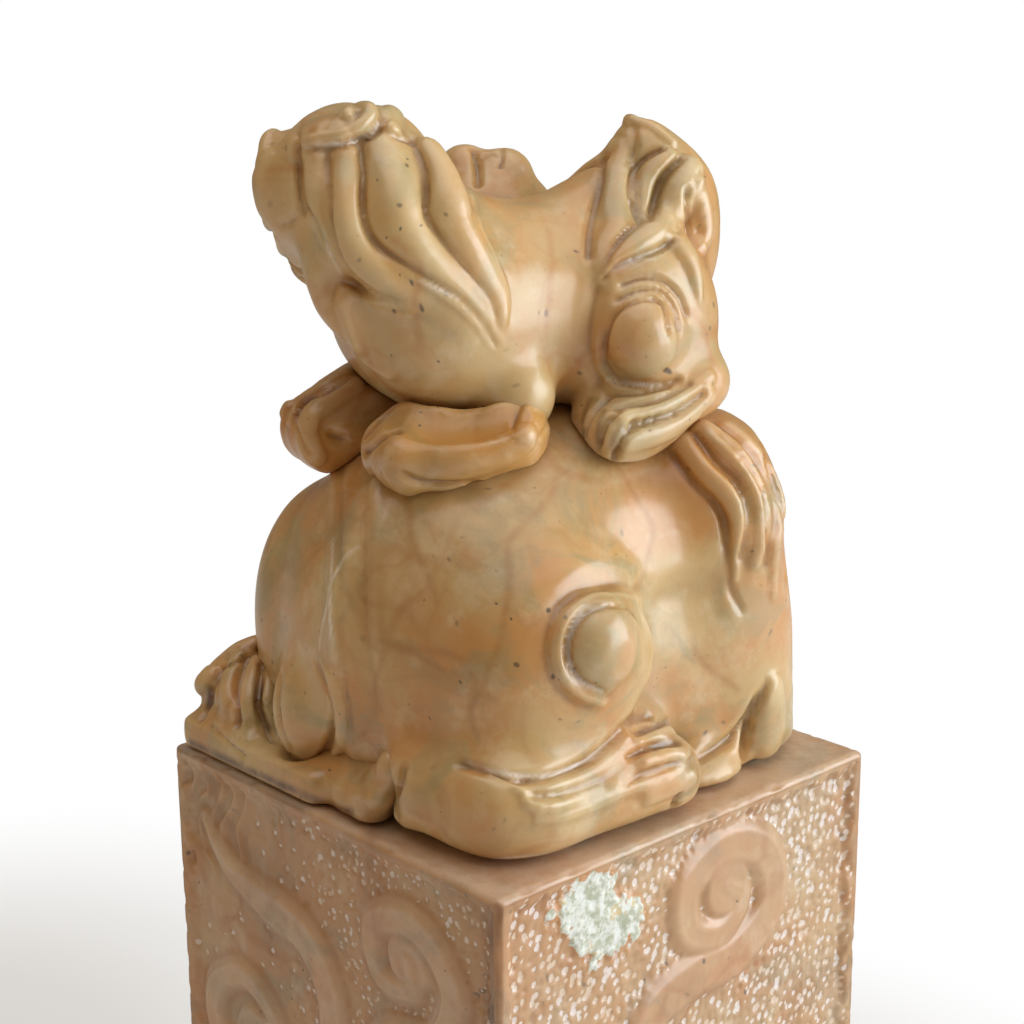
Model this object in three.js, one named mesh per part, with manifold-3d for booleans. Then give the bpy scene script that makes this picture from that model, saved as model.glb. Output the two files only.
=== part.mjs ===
// Seal stamp of carved soapstone: a square block with low cloud reliefs on its sides,
// and on top a crouching lion, her head turned back, with her cub lying on her back.
// Millimetres, +Z up. The origin is the middle of the print face, the lion faces +Y.
import * as THREE from "three";
import { mergeVertices } from "three/addons/utils/BufferGeometryUtils.js";
import Module from "manifold-3d";

// Driving dimensions of the block
const BLOCK_SIDE = 65;
const BLOCK_HEIGHT = 85;
const BLOCK_EDGE = 1.5; // rounding of the upright edges
const BORDER = 3; // smooth band left round each carved side
const GROUND_DEPTH = 0.8; // how far the punched ground lies below the band
const CLOUD_RISE = 0.8; // how far the clouds stand off the ground
const CLOUD_STROKE = 4; // width of a cloud's ribbon
const PRINT_THICKNESS = 3; // foot of the block that holds the print face
const PRINT_RIM = 3.5; // width of the frame line round the print
const PRINT_STROKE = 3.2; // width of a fret line
const PRINT_DEPTH = 1.2; // how deep the print is cut

// Driving dimensions of the lion and her cub
const LION_WIDTH = 58;
const LION_LENGTH = 60;
const LION_HEIGHT = 47; // to the top of her back
const LION_HEAD = 11.5; // radius of her skull
const LION_BALL = 5.8; // radius of the ball on her haunch
const CUB_WIDTH = 28;
const CUB_LENGTH = 50;
const CUB_HEIGHT = 26; // to the top of its back
const CUB_HEAD = 10.5; // radius of its skull
const CUB_BALL = 5.5; // radius of the ball on its haunch
const CUB_TURN = 16; // degrees that it lies askew on her back
const SPINE_RIDGE = 2.6; // half thickness of the ridge down her rump
const HAUNCH_FOLD = 3.3; // half thickness of the fold over the ball on her haunch
const HAUNCH_RING = 1.9; // half thickness of the ring round the cub's ball
const LOCK = 2.5; // half thickness of a lock of the manes
const LEDGE_THICKNESS = 4.5; // rock that carries her tail
const LEDGE_INSET = 1.5; // from the block's edges
const LEDGE_ALONG = 29; // its length along the block's rear edge
const LEDGE_ACROSS = 23; // its length along the block's left edge
const LEDGE_DEPTH = 8; // how far in from the block's edges it runs straight
const SEAM = 0.3; // line cut between two neighbouring forms

const BLOCK_TOP = BLOCK_HEIGHT;

const wasm = await Module();
wasm.setup();

const vec = (p) => new THREE.Vector3(...p);
const mix = THREE.MathUtils.lerp;

// Frames: a place on an animal is given forward, to its right and up, in millimetres of
// the carver's drawing, and is stretched to the animal's own length, width and height.
const DRAWN_LION = [60, 58, 47];
const DRAWN_CUB = [50, 28, 26];

function frame(origin, heading, stretch) {
  const turn = THREE.MathUtils.degToRad(heading);
  const ahead = new THREE.Vector3(Math.cos(turn), Math.sin(turn), 0);
  const right = new THREE.Vector3(Math.sin(turn), -Math.cos(turn), 0);
  const up = new THREE.Vector3(0, 0, 1);
  const axes = new THREE.Matrix4().makeBasis(ahead, right, up);
  const place = ([f, r, u]) =>
    vec(origin)
      .addScaledVector(ahead, f * stretch[0])
      .addScaledVector(right, r * stretch[1])
      .addScaledVector(up, u * stretch[2]);
  return { place, axes, stretch, heading };
}

const lionStretch = [LION_LENGTH / DRAWN_LION[0], LION_WIDTH / DRAWN_LION[1], LION_HEIGHT / DRAWN_LION[2]];
const cubStretch = [CUB_LENGTH / DRAWN_CUB[0], CUB_WIDTH / DRAWN_CUB[1], CUB_HEIGHT / DRAWN_CUB[2]];
const lion = frame([0, 0, BLOCK_TOP], 90, lionStretch);
const cub = frame([0, 0, BLOCK_TOP + LION_HEIGHT], 270 - CUB_TURN, cubStretch);

// Masses: each tells how far a point lies outside it, and grows by a given margin.
function egg(of, at, radii, square = 2) {
  const centre = of.place(at);
  const size = radii.map((r, i) => r * of.stretch[i]);
  const inward = of.axes.clone().invert();
  const q = new THREE.Vector3();
  return (point, grow) => {
    q.copy(point).sub(centre).applyMatrix4(inward);
    const sum =
      Math.abs(q.x / (size[0] + grow)) ** square +
      Math.abs(q.y / (size[1] + grow)) ** square +
      Math.abs(q.z / (size[2] + grow)) ** square;
    return (sum ** (1 / square) - 1) * (Math.min(...size) + grow);
  };
}

function limb(of, from, fromRadius, to, toRadius) {
  const girth = (of.stretch[0] + of.stretch[1] + of.stretch[2]) / 3;
  const a = of.place(from);
  const along = of.place(to).sub(a);
  const q = new THREE.Vector3();
  return (point, grow) => {
    q.copy(point).sub(a);
    const t = THREE.MathUtils.clamp(q.dot(along) / along.lengthSq(), 0, 1);
    return q.addScaledVector(along, -t).length() - mix(fromRadius, toRadius, t) * girth - grow;
  };
}

function outside(masses, soft, point, grow) {
  let sum = 0;
  for (const mass of masses) sum += Math.exp(-mass(point, grow) / soft);
  return -soft * Math.log(sum);
}

// A form: masses that run together, wrapped in one skin from a core line outwards.
const REACH = 60;
const HALVINGS = 22;

function form(core, masses, soft, detail) {
  return (grow) => {
    const middle = core[0].clone().lerp(core[1], 0.5);
    const half = core[1].clone().sub(core[0]).multiplyScalar(0.5);
    const axis = half.lengthSq() > 0 ? half.clone().normalize() : new THREE.Vector3(0, 0, 1);
    const skin = welded(new THREE.IcosahedronGeometry(1, detail));
    const points = skin.attributes.position;
    const point = new THREE.Vector3();
    for (let i = 0; i < points.count; i++) {
      const ray = new THREE.Vector3().fromBufferAttribute(points, i).normalize();
      const start = middle.clone().addScaledVector(half, ray.dot(axis));
      let near = 0;
      let far = REACH;
      for (let n = 0; n < HALVINGS; n++) {
        const t = (near + far) / 2;
        point.copy(start).addScaledVector(ray, t);
        if (outside(masses, soft, point, grow) < 0) near = t;
        else far = t;
      }
      point.copy(start).addScaledVector(ray, near);
      points.setXYZ(i, point.x, point.y, point.z);
    }
    return solidFrom(skin);
  };
}

// A lock: a round bar along a curve, its thickness given at evenly spaced places.
function lock(of, path, thickness, around = 8, along = 12) {
  const curve = new THREE.CatmullRomCurve3(path.map((p) => of.place(p)));
  return (grow) => {
    const skin = new THREE.SphereGeometry(1, around, along);
    const frames = curve.computeFrenetFrames(along);
    const points = skin.attributes.position;
    for (let i = 0; i < points.count; i++) {
      const ring = Math.floor(i / (around + 1));
      const t = ring / along;
      const turn = ((i % (around + 1)) / around) * 2 * Math.PI;
      const last = thickness.length - 1;
      const step = Math.min(Math.floor(t * last), last - 1);
      const full = mix(thickness[step], thickness[step + 1], t * last - step);
      const round = Math.min(1, Math.sqrt(1 - (2 * t - 1) ** 4) + 0.001);
      const radius = ring === 0 || ring === along ? 0 : full * round + grow;
      const tip = ring === 0 ? -grow : ring === along ? grow : 0;
      const spot = curve
        .getPoint(t)
        .addScaledVector(frames.tangents[ring], tip)
        .addScaledVector(frames.normals[ring], Math.cos(turn) * radius)
        .addScaledVector(frames.binormals[ring], -Math.sin(turn) * radius);
      points.setXYZ(i, spot.x, spot.y, spot.z);
    }
    return solidFrom(skin);
  };
}

// Forms and locks that grow out of each other and make one piece.
function together(...makers) {
  return (grow) => makers.map((make) => make(grow)).reduce((a, b) => a.add(b));
}

function welded(geometry) {
  const bare = geometry.clone();
  bare.deleteAttribute("normal");
  bare.deleteAttribute("uv");
  return mergeVertices(bare, 1e-4);
}

function solidFrom(geometry) {
  const merged = welded(geometry);
  const mesh = new wasm.Mesh({
    numProp: 3,
    vertProperties: merged.attributes.position.array,
    triVerts: new Uint32Array(merged.index.array),
  });
  return new wasm.Manifold(mesh);
}

function geometryFrom(solid) {
  const mesh = solid.getMesh();
  const geometry = new THREE.BufferGeometry();
  geometry.setAttribute("position", new THREE.BufferAttribute(mesh.vertProperties, mesh.numProp));
  geometry.setIndex([...withoutCrumbs(mesh)]);
  geometry.computeVertexNormals();
  return geometry;
}

// A cut can leave crumbs of stone beside a form, smaller than this; they are brushed off
const CRUMB = 2; // cubic millimetres

function withoutCrumbs(mesh) {
  const leader = Array.from({ length: mesh.numVert }, (_, i) => i);
  const find = (i) => {
    while (leader[i] !== i) i = leader[i] = leader[leader[i]];
    return i;
  };
  const corner = (i) => vec(mesh.vertProperties.subarray(3 * i, 3 * i + 3));
  const faces = [];
  for (let i = 0; i < mesh.triVerts.length; i += 3) faces.push([...mesh.triVerts.subarray(i, i + 3)]);
  for (const [a, b, c] of faces) {
    leader[find(a)] = find(b);
    leader[find(b)] = find(c);
  }
  const volume = new Map();
  for (const [a, b, c] of faces) {
    const sixth = corner(a).dot(corner(b).cross(corner(c))) / 6;
    volume.set(find(a), (volume.get(find(a)) ?? 0) + sixth);
  }
  return faces.filter(([a]) => Math.abs(volume.get(find(a))) > CRUMB).flat();
}

// Looks: one soapstone, whose colour wanders from honey to pink and grey-green
const stone = (color, roughness = 0.25) => new THREE.MeshStandardMaterial({ color, roughness, metalness: 0 });
const HONEY = "#c8a57c";
const CREAM = "#d3b58d";
const PINK = "#c9987a";
const BLOCK_TAN = "#bd9077";

const group = new THREE.Group();

function add(name, geometry, material) {
  const mesh = new THREE.Mesh(geometry, material);
  mesh.name = name;
  group.add(mesh);
  return mesh;
}

// Block: a square prism whose four sides are sunk inside a smooth band
function squareShape(side, rounding) {
  const half = side / 2;
  const shape = new THREE.Shape();
  shape.moveTo(half, half - rounding);
  shape.absarc(half - rounding, half - rounding, rounding, 0, Math.PI / 2);
  shape.absarc(rounding - half, half - rounding, rounding, Math.PI / 2, Math.PI);
  shape.absarc(rounding - half, rounding - half, rounding, Math.PI, 1.5 * Math.PI);
  shape.absarc(half - rounding, rounding - half, rounding, 1.5 * Math.PI, 2 * Math.PI);
  return shape;
}

function box(width, depth, height, at) {
  return new THREE.BoxGeometry(width, depth, height).translate(...at);
}

const SIDES = [
  ["right", 90],
  ["front", 180],
  ["left", 270],
  ["rear", 0],
];
const EDGE_STEPS = 3;
const shaft = BLOCK_HEIGHT - PRINT_THICKNESS;
const panelWidth = BLOCK_SIDE - 2 * BORDER;
const panelHeight = shaft - 2 * BORDER;
const panelMiddle = PRINT_THICKNESS + shaft / 2;

function onSide(geometry, degrees) {
  return geometry.rotateZ(THREE.MathUtils.degToRad(degrees));
}

function sealBlock() {
  const outline = squareShape(BLOCK_SIDE, BLOCK_EDGE);
  const prism = new THREE.ExtrudeGeometry(outline, {
    depth: shaft,
    bevelEnabled: false,
    curveSegments: EDGE_STEPS,
  });
  let solid = solidFrom(prism.translate(0, 0, PRINT_THICKNESS));
  for (const [, degrees] of SIDES) {
    const outer = 2 * GROUND_DEPTH;
    const panel = box(panelWidth, outer, panelHeight, [0, -BLOCK_SIDE / 2, panelMiddle]);
    solid = solid.subtract(solidFrom(onSide(panel, degrees)));
  }
  return solid;
}
add("seal_block", geometryFrom(sealBlock()), stone(BLOCK_TAN, 0.35));

// Print face: a frame line round a square fret, a plain traditional pattern
function printFace() {
  const outline = squareShape(BLOCK_SIDE, BLOCK_EDGE);
  const foot = new THREE.ExtrudeGeometry(outline, {
    depth: PRINT_THICKNESS,
    bevelEnabled: false,
    curveSegments: EDGE_STEPS,
  });
  const inside = BLOCK_SIDE - 2 * PRINT_RIM;
  const sunk = box(inside, inside, 2 * PRINT_DEPTH, [0, 0, 0]);
  const quarter = inside / 4;
  const spirals = [];
  for (const x of [-1, 1]) {
    for (const y of [-1, 1]) {
      spirals.push(fret(quarter, x * quarter, y * quarter, x * y));
    }
  }
  const lines = spirals.reduce((a, b) => a.add(b));
  return solidFrom(foot).subtract(solidFrom(sunk).subtract(lines));
}

// One square spiral of the fret, which reaches half its width from its middle and joins the
// frame line or its neighbour at its outer end
function fret(reach, x, y, hand) {
  const step = (reach - PRINT_STROKE / 2) / 2.5;
  const outer = reach - step;
  const inner = outer - step;
  const corners = [
    [-reach, outer],
    [outer, outer],
    [outer, -outer],
    [-outer, -outer],
    [-outer, inner],
    [inner - step, inner],
  ];
  const bars = corners.slice(1).map(([x1, y1], i) => {
    const [x0, y0] = corners[i];
    const wide = Math.abs(x1 - x0) + PRINT_STROKE;
    const deep = Math.abs(y1 - y0) + PRINT_STROKE;
    const middle = [x + (hand * (x0 + x1)) / 2, y + (y0 + y1) / 2, 0];
    return solidFrom(box(wide, deep, PRINT_THICKNESS, middle));
  });
  return bars.reduce((a, b) => a.add(b));
}
add("print_face", geometryFrom(printFace()), stone(BLOCK_TAN, 0.5));

// Clouds: flat ribbons with curled ends, drawn on a side from the middle of its panel's top,
// and stretched to the panel's own width and height
const DRAWN_PANEL = [59, 76];

function ribbon(path, widths) {
  const wide = panelWidth / DRAWN_PANEL[0];
  const tall = panelHeight / DRAWN_PANEL[1];
  const spots = path.map(([x, y]) => new THREE.Vector3(x * wide, y * tall, 0));
  const line = new THREE.CatmullRomCurve3(spots);
  const steps = 2 * path.length;
  const leftEdge = [];
  const rightEdge = [];
  for (let i = 0; i <= steps; i++) {
    const t = i / steps;
    const spot = line.getPoint(t);
    const ahead = line.getTangent(t);
    const last = widths.length - 1;
    const step = Math.min(Math.floor(t * last), last - 1);
    const half = mix(widths[step], widths[step + 1], t * last - step) / 2;
    leftEdge.push(new THREE.Vector2(spot.x - ahead.y * half, spot.y + ahead.x * half));
    rightEdge.push(new THREE.Vector2(spot.x + ahead.y * half, spot.y - ahead.x * half));
  }
  return new THREE.Shape([...leftEdge, ...rightEdge.reverse()]);
}

function relief(shape, degrees) {
  const slab = new THREE.ExtrudeGeometry(shape, { depth: CLOUD_RISE, bevelEnabled: false });
  slab.rotateX(Math.PI / 2);
  slab.translate(0, GROUND_DEPTH - BLOCK_SIDE / 2, BLOCK_TOP - BORDER);
  return onSide(slab, degrees);
}

// The clouds of two neighbouring sides; the sides across from them repeat the same drawing
const LONG_SIDE_CLOUDS = {
  curl: [
    [[-13, -31], [-8, -21.5], [0, -18.3], [8, -18], [14.6, -13.5], [13.6, -6], [6, -2.6]],
    [[-1, -6], [-0.5, -12], [5, -14], [9, -10.5], [6, -7.8]],
  ],
  wisp: [
    [[26, -63], [14, -65], [4, -61], [-4, -53], [-12, -44], [-22, -45], [-24, -54]],
    [[-16, -59], [-10.5, -53.5], [-15.5, -50]],
  ],
};
const SHORT_SIDE_CLOUDS = {
  sweep: [
    [[-26.5, -6], [-21.5, -11], [-13.6, -13.3], [-5, -15], [0, -21], [0, -30], [-5, -37.5]],
    [[-14, -41], [-24, -39], [-26, -31], [-19, -26], [-12, -30], [-17, -34]],
  ],
  curl: [
    [[24, -63], [13, -55], [8, -43], [7, -31], [12, -22.5], [21, -19.5], [24, -11.5]],
    [[17.5, -5.5], [9.5, -8], [10.5, -14.5], [16.5, -14.3], [16, -10.5]],
  ],
};
const CLOUDS = {
  right: LONG_SIDE_CLOUDS,
  front: SHORT_SIDE_CLOUDS,
  left: LONG_SIDE_CLOUDS,
  rear: SHORT_SIDE_CLOUDS,
};
const CLOUD_WIDTHS = [0.3, 1.2, 1.1, 1, 1, 0.9, 0.6].map((share) => share * CLOUD_STROKE);
for (const [side, degrees] of SIDES) {
  for (const [kind, [tail, eye]] of Object.entries(CLOUDS[side])) {
    const shape = ribbon([...tail, ...eye], CLOUD_WIDTHS);
    add(`cloud_${kind}_${side}`, geometryFrom(solidFrom(relief(shape, degrees))), stone(BLOCK_TAN));
  }
}

// Finial: forms are placed from the largest to the smallest, and each gives way to those before it
const placed = [];

function carve(name, material, make) {
  const grown = make(SEAM);
  const room = boxOf(grown);
  let solid = make(0);
  for (const other of placed) {
    if (room.intersectsBox(other.room)) solid = solid.subtract(other.grown);
  }
  placed.push({ grown, room });
  add(name, geometryFrom(solid), material);
}

function boxOf(solid) {
  const geometry = geometryFrom(solid);
  geometry.computeBoundingBox();
  return geometry.boundingBox;
}

const under = BLOCK_SIDE + 2 * REACH;
const seat = solidFrom(box(under, under, REACH, [0, 0, BLOCK_TOP + SEAM - REACH / 2]));
placed.push({ grown: seat, room: boxOf(seat) });

const hands = [
  ["right", 1],
  ["left", -1],
];
const core = (of, from, to) => [of.place(from), of.place(to)];

// Lion: a barrel of a body, a round haunch on each side and a straight chest
carve(
  "lion_torso",
  stone(HONEY),
  form(
    core(lion, [-8, 0, 20], [8, 0, 20]),
    [
      egg(lion, [0, 0, 21], [25, 24, 26], 2.3),
      egg(lion, [-13, 0, 19], [16.5, 23.5, 22], 2.2),
      egg(lion, [14, 0, 20], [14, 24, 24], 2.2),
    ],
    2,
    5,
  ),
);

for (const [side, hand] of hands) {
  const haunch = form(
    core(lion, [-16, hand * 14, 16], [-8, hand * 15, 18]),
    [egg(lion, [-11.5, hand * 15, 18], [15.5, 13.8, 19.5], 2.3)],
    2,
    4,
  );
  carve(`lion_haunch_${side}`, stone(HONEY), haunch);
}

for (const [side, hand] of hands) {
  const foreleg = form(
    core(lion, [15, hand * 14, 14], [16, hand * 14, 26]),
    [
      egg(lion, [15.5, hand * 15, 23], [12.8, 12.3, 22.5], 2.3),
      limb(lion, [20, hand * 18, 16], 8, [20.5, hand * 20, 6], 6.8),
      limb(lion, [20, hand * 21, 5], 5.2, [24.5, hand * 20.5, 4], 4.6),
    ],
    2,
    3,
  );
  carve(`lion_foreleg_${side}`, stone(HONEY), foreleg);
}

carve(
  "lion_chest",
  stone(HONEY),
  form(core(lion, [22, 0, 14], [22, 0, 24]), [egg(lion, [20, 0, 22], [11, 14, 21])], 2, 3),
);

// Her neck rises behind the cub and turns her head to her left
const faceAt = [10.5, -17, 64];
carve(
  "lion_neck",
  stone(CREAM),
  form(
    core(lion, [15, -7, 40], [12, -15, 56]),
    [limb(lion, [15, -7, 38], 12, [12, -15, 59], 9.5)],
    2,
    3,
  ),
);

for (const [side, hand] of hands) {
  const ankle = hand < 0 ? -17 : -22;
  const heel = hand < 0 ? [-26, -9, 10] : [-26, 12, 6.5];
  const heelSize = hand < 0 ? [5.5, 5.4, 8.2] : [5, 4.5, 6.5];
  const foot = together(
    form(
      core(lion, [ankle + 1, hand * 22, 6], [-4, hand * 26, 6]),
      [
        limb(lion, [ankle - 4, hand * 13, 6.5], 6, [ankle, hand * 23, 6.5], 6.5),
        limb(lion, [ankle, hand * 23, 6.5], 6.8, [-4, hand * 25.5, 6.5], 6.5),
      ],
      1.5,
      2,
    ),
    form(core(lion, heel, heel), [egg(lion, heel, heelSize)], 1, 2),
    ...[0, 1, 2, 3].map((toe) => {
      const across = hand * (28.8 - toe * 3.4);
      const tall = 5.6 + toe * 0.5;
      return form(
        core(lion, [-3, across, tall], [0, across, tall - 1]),
        [egg(lion, [-0.5 - toe * 0.6, across, tall], [5, 2.4, tall])],
        1,
        1,
      );
    }),
  );
  carve(`lion_hind_foot_${side}`, stone(PINK), foot);
}

for (const [side, hand] of hands) {
  const spot = [-12.3, hand * 27, 23.8];
  const ball = form(core(lion, spot, spot), [egg(lion, spot, [LION_BALL, 4.5, LION_BALL])], 1, 2);
  carve(`lion_haunch_ball_${side}`, stone(PINK), ball);
  const fold = lock(
    lion,
    [
      [-19.5, hand * 26, 19.5],
      [-19, hand * 26.3, 26],
      [-11.5, hand * 26.4, 30],
      [-2, hand * 25.8, 29],
      [6, hand * 25.4, 26],
    ],
    [0.45, 1, 1, 0.9, 0.3].map((share) => share * HAUNCH_FOLD),
    6,
    8,
  );
  carve(`lion_haunch_fold_${side}`, stone(HONEY), fold);
}

carve(
  "lion_spine_ridge",
  stone(HONEY),
  lock(
    lion,
    [
      [-27, 2, 4],
      [-29, 2, 14],
      [-28.5, 2, 26],
      [-25, 1, 36],
      [-19, 0, 42.5],
    ],
    [0.9, 1, 1, 0.9, 0.6].map((share) => share * SPINE_RIDGE),
    6,
    10,
  ),
);

// Manes: locks that fall from the neck over the shoulders
for (const [side, hand] of hands) {
  const locks = [0, 1, 2, 3].map((n) => {
    const lead = n * 3;
    const wrap = n * n * 0.5;
    return lock(
      lion,
      [
        [11 + lead * 0.8, hand * (15 - n), 45.5],
        [13 + lead, hand * (22.6 - wrap), 41.5],
        [14.5 + lead, hand * (26.6 - wrap), 33],
        [15.5 + lead, hand * (27.2 - wrap), 22],
      ],
      [LOCK, LOCK * 1.2, LOCK * 1.1, LOCK * 0.4],
      6,
      6,
    );
  });
  carve(`lion_mane_${side}`, stone(CREAM), together(...locks));
}

// Heads: the same carver's scheme for both, in units of the skull's radius
function head(name, of, coat, earAt, earSize) {
  carve(
    `${name}_skull`,
    coat,
    form(
      core(of, [0, 0, 0], [0.2, 0, 0]),
      [egg(of, [0, 0, 0], [0.95, 1, 1]), egg(of, [0.62, 0, -0.32], [0.6, 0.68, 0.46])],
      of.stretch[0] * 0.08,
      3,
    ),
  );
  const chin = [0.45, 0, -0.84];
  carve(`${name}_jaw`, coat, form(core(of, chin, chin), [egg(of, chin, [0.56, 0.55, 0.34])], 1, 2));
  const tip = [1.12, 0, -0.06];
  carve(`${name}_nose`, coat, form(core(of, tip, tip), [egg(of, tip, [0.26, 0.34, 0.22])], 1, 1));
  for (const [side, hand] of hands) {
    const brow = [0.74, hand * 0.44, 0.44];
    carve(`${name}_brow_${side}`, coat, form(core(of, brow, brow), [egg(of, brow, [0.3, 0.4, 0.28])], 1, 1));
    const eye = [0.92, hand * 0.4, 0.14];
    carve(`${name}_eye_${side}`, coat, form(core(of, eye, eye), [egg(of, eye, [0.2, 0.24, 0.22])], 1, 1));
    const ear = [earAt[0], hand * earAt[1], earAt[2]];
    carve(`${name}_ear_${side}`, coat, form(core(of, ear, ear), [egg(of, ear, earSize)], 1, 1));
  }
}

const lionFace = frame(lion.place(faceAt).toArray(), 200, [LION_HEAD, LION_HEAD, LION_HEAD]);
head("lion", lionFace, stone(CREAM), [0, 0.94, 0.3], [0.26, 0.24, 0.42]);
const curls = [
  [-0.22, 0.07, 0.8, 0.36],
  [0.2, -0.1, 0.88, 0.32],
  [0.46, 0.14, 0.76, 0.3],
].map(([f, r, u, size]) => {
  const spot = [f, r, u];
  return form(core(lionFace, spot, spot), [egg(lionFace, spot, [size, size, size])], 1, 1);
});
carve("lion_crown", stone(CREAM), together(...curls));

// Rock ledge in the corner behind her, with her tail spread over it
function ledge(grow) {
  const corner = LEDGE_INSET - BLOCK_SIDE / 2;
  const low = corner - grow;
  const deep = corner + LEDGE_DEPTH + grow;
  const shape = new THREE.Shape();
  shape.moveTo(low, low);
  shape.lineTo(corner + LEDGE_ALONG + grow, low);
  shape.lineTo(corner + LEDGE_ALONG + grow, deep);
  shape.lineTo(deep, corner + LEDGE_ACROSS + grow);
  shape.lineTo(low, corner + LEDGE_ACROSS + grow);
  const slab = new THREE.ExtrudeGeometry(shape, { depth: LEDGE_THICKNESS + 2 * grow, bevelEnabled: false });
  return solidFrom(slab.translate(0, 0, BLOCK_TOP - grow));
}
carve("tail_ledge", stone(HONEY), ledge);

const strands = [0, 1, 2, 3].map((n) =>
  lock(
    lion,
    [
      [-18.5, n * 1.8 - 25.5, 14 - n],
      [-23.5 - n, n * 2.2 - 28, 11 - n * 0.6],
      [-27.5 - n * 0.6, n * 3 - 29.2, 8.2 - n * 0.6],
      [-29.6, n * 3.6 - 29.6, 6.2],
    ],
    [LOCK * 0.8, LOCK * 1.1, LOCK, LOCK * 0.8],
    6,
    6,
  ),
);
carve("lion_tail", stone(HONEY), together(...strands));

// Cub: it lies on her back, chest and forepaws over her rump
carve(
  "cub_torso",
  stone(CREAM),
  form(
    core(cub, [-10, 0, 11], [8, 0, 11]),
    [
      egg(cub, [10.5, 0, 13], [10, 11, 12.5]),
      egg(cub, [11, -6, 11], [10, 8.5, 9.5]),
      egg(cub, [11, 6, 11], [10, 8.5, 9.5]),
      egg(cub, [0, 0, 12], [16, 12.5, 12.5], 2.2),
      egg(cub, [-13, 0, 12], [12, 12, 14]),
      limb(cub, [-6, 0, 17], 5, [-16, 0, 26], 5),
      limb(cub, [13, 0, 17], 10, [18, 1.3, 24], 9.5),
    ],
    1.5,
    4,
  ),
);

for (const [side, hand] of hands) {
  const haunch = form(
    core(cub, [-14, hand * 9, 9], [-12, hand * 9, 9]),
    [egg(cub, [-12.5, hand * 8, 10], [11.5, 8.5, 13])],
    2,
    4,
  );
  carve(`cub_haunch_${side}`, stone(CREAM), haunch);
}

for (const [side, hand] of hands) {
  const reach = hand > 0 ? 4 : 0;
  const foreleg = together(
    form(
      core(cub, [8 + reach, hand * 12, -1], [15 + reach, hand * 9, -3]),
      [
        limb(cub, [6, hand * 13.5, 0], 5.5, [13, hand * 11, -3.2], 5),
        limb(cub, [13, hand * 11, -3.2], 5, [17 + reach, hand * 8.5, -3.5], 5.4),
        limb(cub, [8, hand * 9, 5], 5.5, [15 + reach, hand * 8.5, -2], 5),
      ],
      1.5,
      2,
    ),
    ...[0, 1, 2].map((toe) => {
      const spot = [19.5 + reach, hand * (5.4 + toe * 3.3), -3.4];
      return form(core(cub, spot, spot), [egg(cub, spot, [3.8, 2.3, 4.8])], 1, 1);
    }),
  );
  carve(`cub_foreleg_${side}`, stone(PINK), foreleg);
}

const heelToToe = together(
  form(
    core(cub, [-16, -14, 1], [-10, -15, -1]),
    [limb(cub, [-19, -13, 3], 4.6, [-8, -15.5, -1.5], 4.6)],
    1.5,
    2,
  ),
  ...[0, 1, 2, 3].map((toe) => {
    const spot = [-5, toe * 2.6 - 18.3, -1.8];
    return form(core(cub, spot, spot), [egg(cub, spot, [3.4, 1.8, 3.8])], 1, 1);
  }),
);
carve("cub_hind_foot", stone(PINK), heelToToe);

// Her neck covers the cub's right flank, so only its left haunch has a foot, a ball and a ring
const cubBall = [-10.6, -14.5, 9];
carve(
  "cub_haunch_ball",
  stone(CREAM),
  form(core(cub, cubBall, cubBall), [egg(cub, cubBall, [CUB_BALL, 4, CUB_BALL])], 1, 2),
);
carve(
  "cub_haunch_ring",
  stone(CREAM),
  lock(
    cub,
    [
      [-4.6, -14.3, 5],
      [-5, -14.8, 14],
      [-11.5, -14.2, 19],
      [-18.5, -12.8, 16],
      [-21.5, -11.3, 9],
    ],
    [0.5, 1, 1, 1, 0.5].map((share) => share * HAUNCH_RING),
    6,
    8,
  ),
);

carve(
  "cub_tail",
  stone(CREAM),
  form(
    core(cub, [-20, 0, 18], [-20, 0, 26]),
    [
      egg(cub, [-21, 0, 19], [7.5, 8, 12]),
      limb(cub, [-21, 0, 25], 6, [-18, 0, 31], 3.5),
    ],
    1.5,
    4,
  ),
);

const cubFace = frame(cub.place([19.9, 1.9, 27]).toArray(), 180, [CUB_HEAD, CUB_HEAD, CUB_HEAD]);
head("cub", cubFace, stone(CREAM), [0.42, 0.86, 0.1], [0.36, 0.34, 0.56]);
carve(
  "cub_crown",
  stone(CREAM),
  lock(
    cub,
    [
      [29, -2, 32],
      [25, -4.5, 34.5],
      [20.5, -4.5, 35.6],
      [18.5, -1, 36.6],
      [22, 0.5, 37],
    ],
    [0.4, 0.7, 0.8, 0.7, 0.4].map((share) => share * LOCK),
    6,
    8,
  ),
);

// The cub's mane: locks that run in an S from its crown to its shoulder
const cubLocks = [
  [[25.5, -2.5, 31], [26, -2.5, 21], [24, -3.5, 13], [20.5, -5.5, 8]],
  [[25, -5, 32.5], [24.6, -7.6, 23], [20.8, -10.2, 18], [14, -12.5, 12]],
  [[19.5, -5.5, 34], [20, -9, 26], [17, -11.4, 19], [12, -12.8, 13], [8.5, -13, 8]],
  [[14.8, -4.6, 34.3], [14.4, -8.9, 27], [11.4, -11.6, 19], [8, -12.8, 11]],
];
carve(
  "cub_mane_left",
  stone(CREAM),
  together(...cubLocks.map((path) => lock(cub, path, [LOCK, LOCK * 1.3, LOCK * 1.2, LOCK * 0.5], 6, 8))),
);

export default group;
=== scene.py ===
# Seal stamp of waxed soapstone: a square block with punched sides and low clouds, and on it
# a crouching lion with her cub on her back. Lengths inside the carving code are millimetres.
import math

import bmesh
import bpy
import numpy as np
from mathutils import Matrix, Vector
from mathutils.bvhtree import BVHTree


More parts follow.
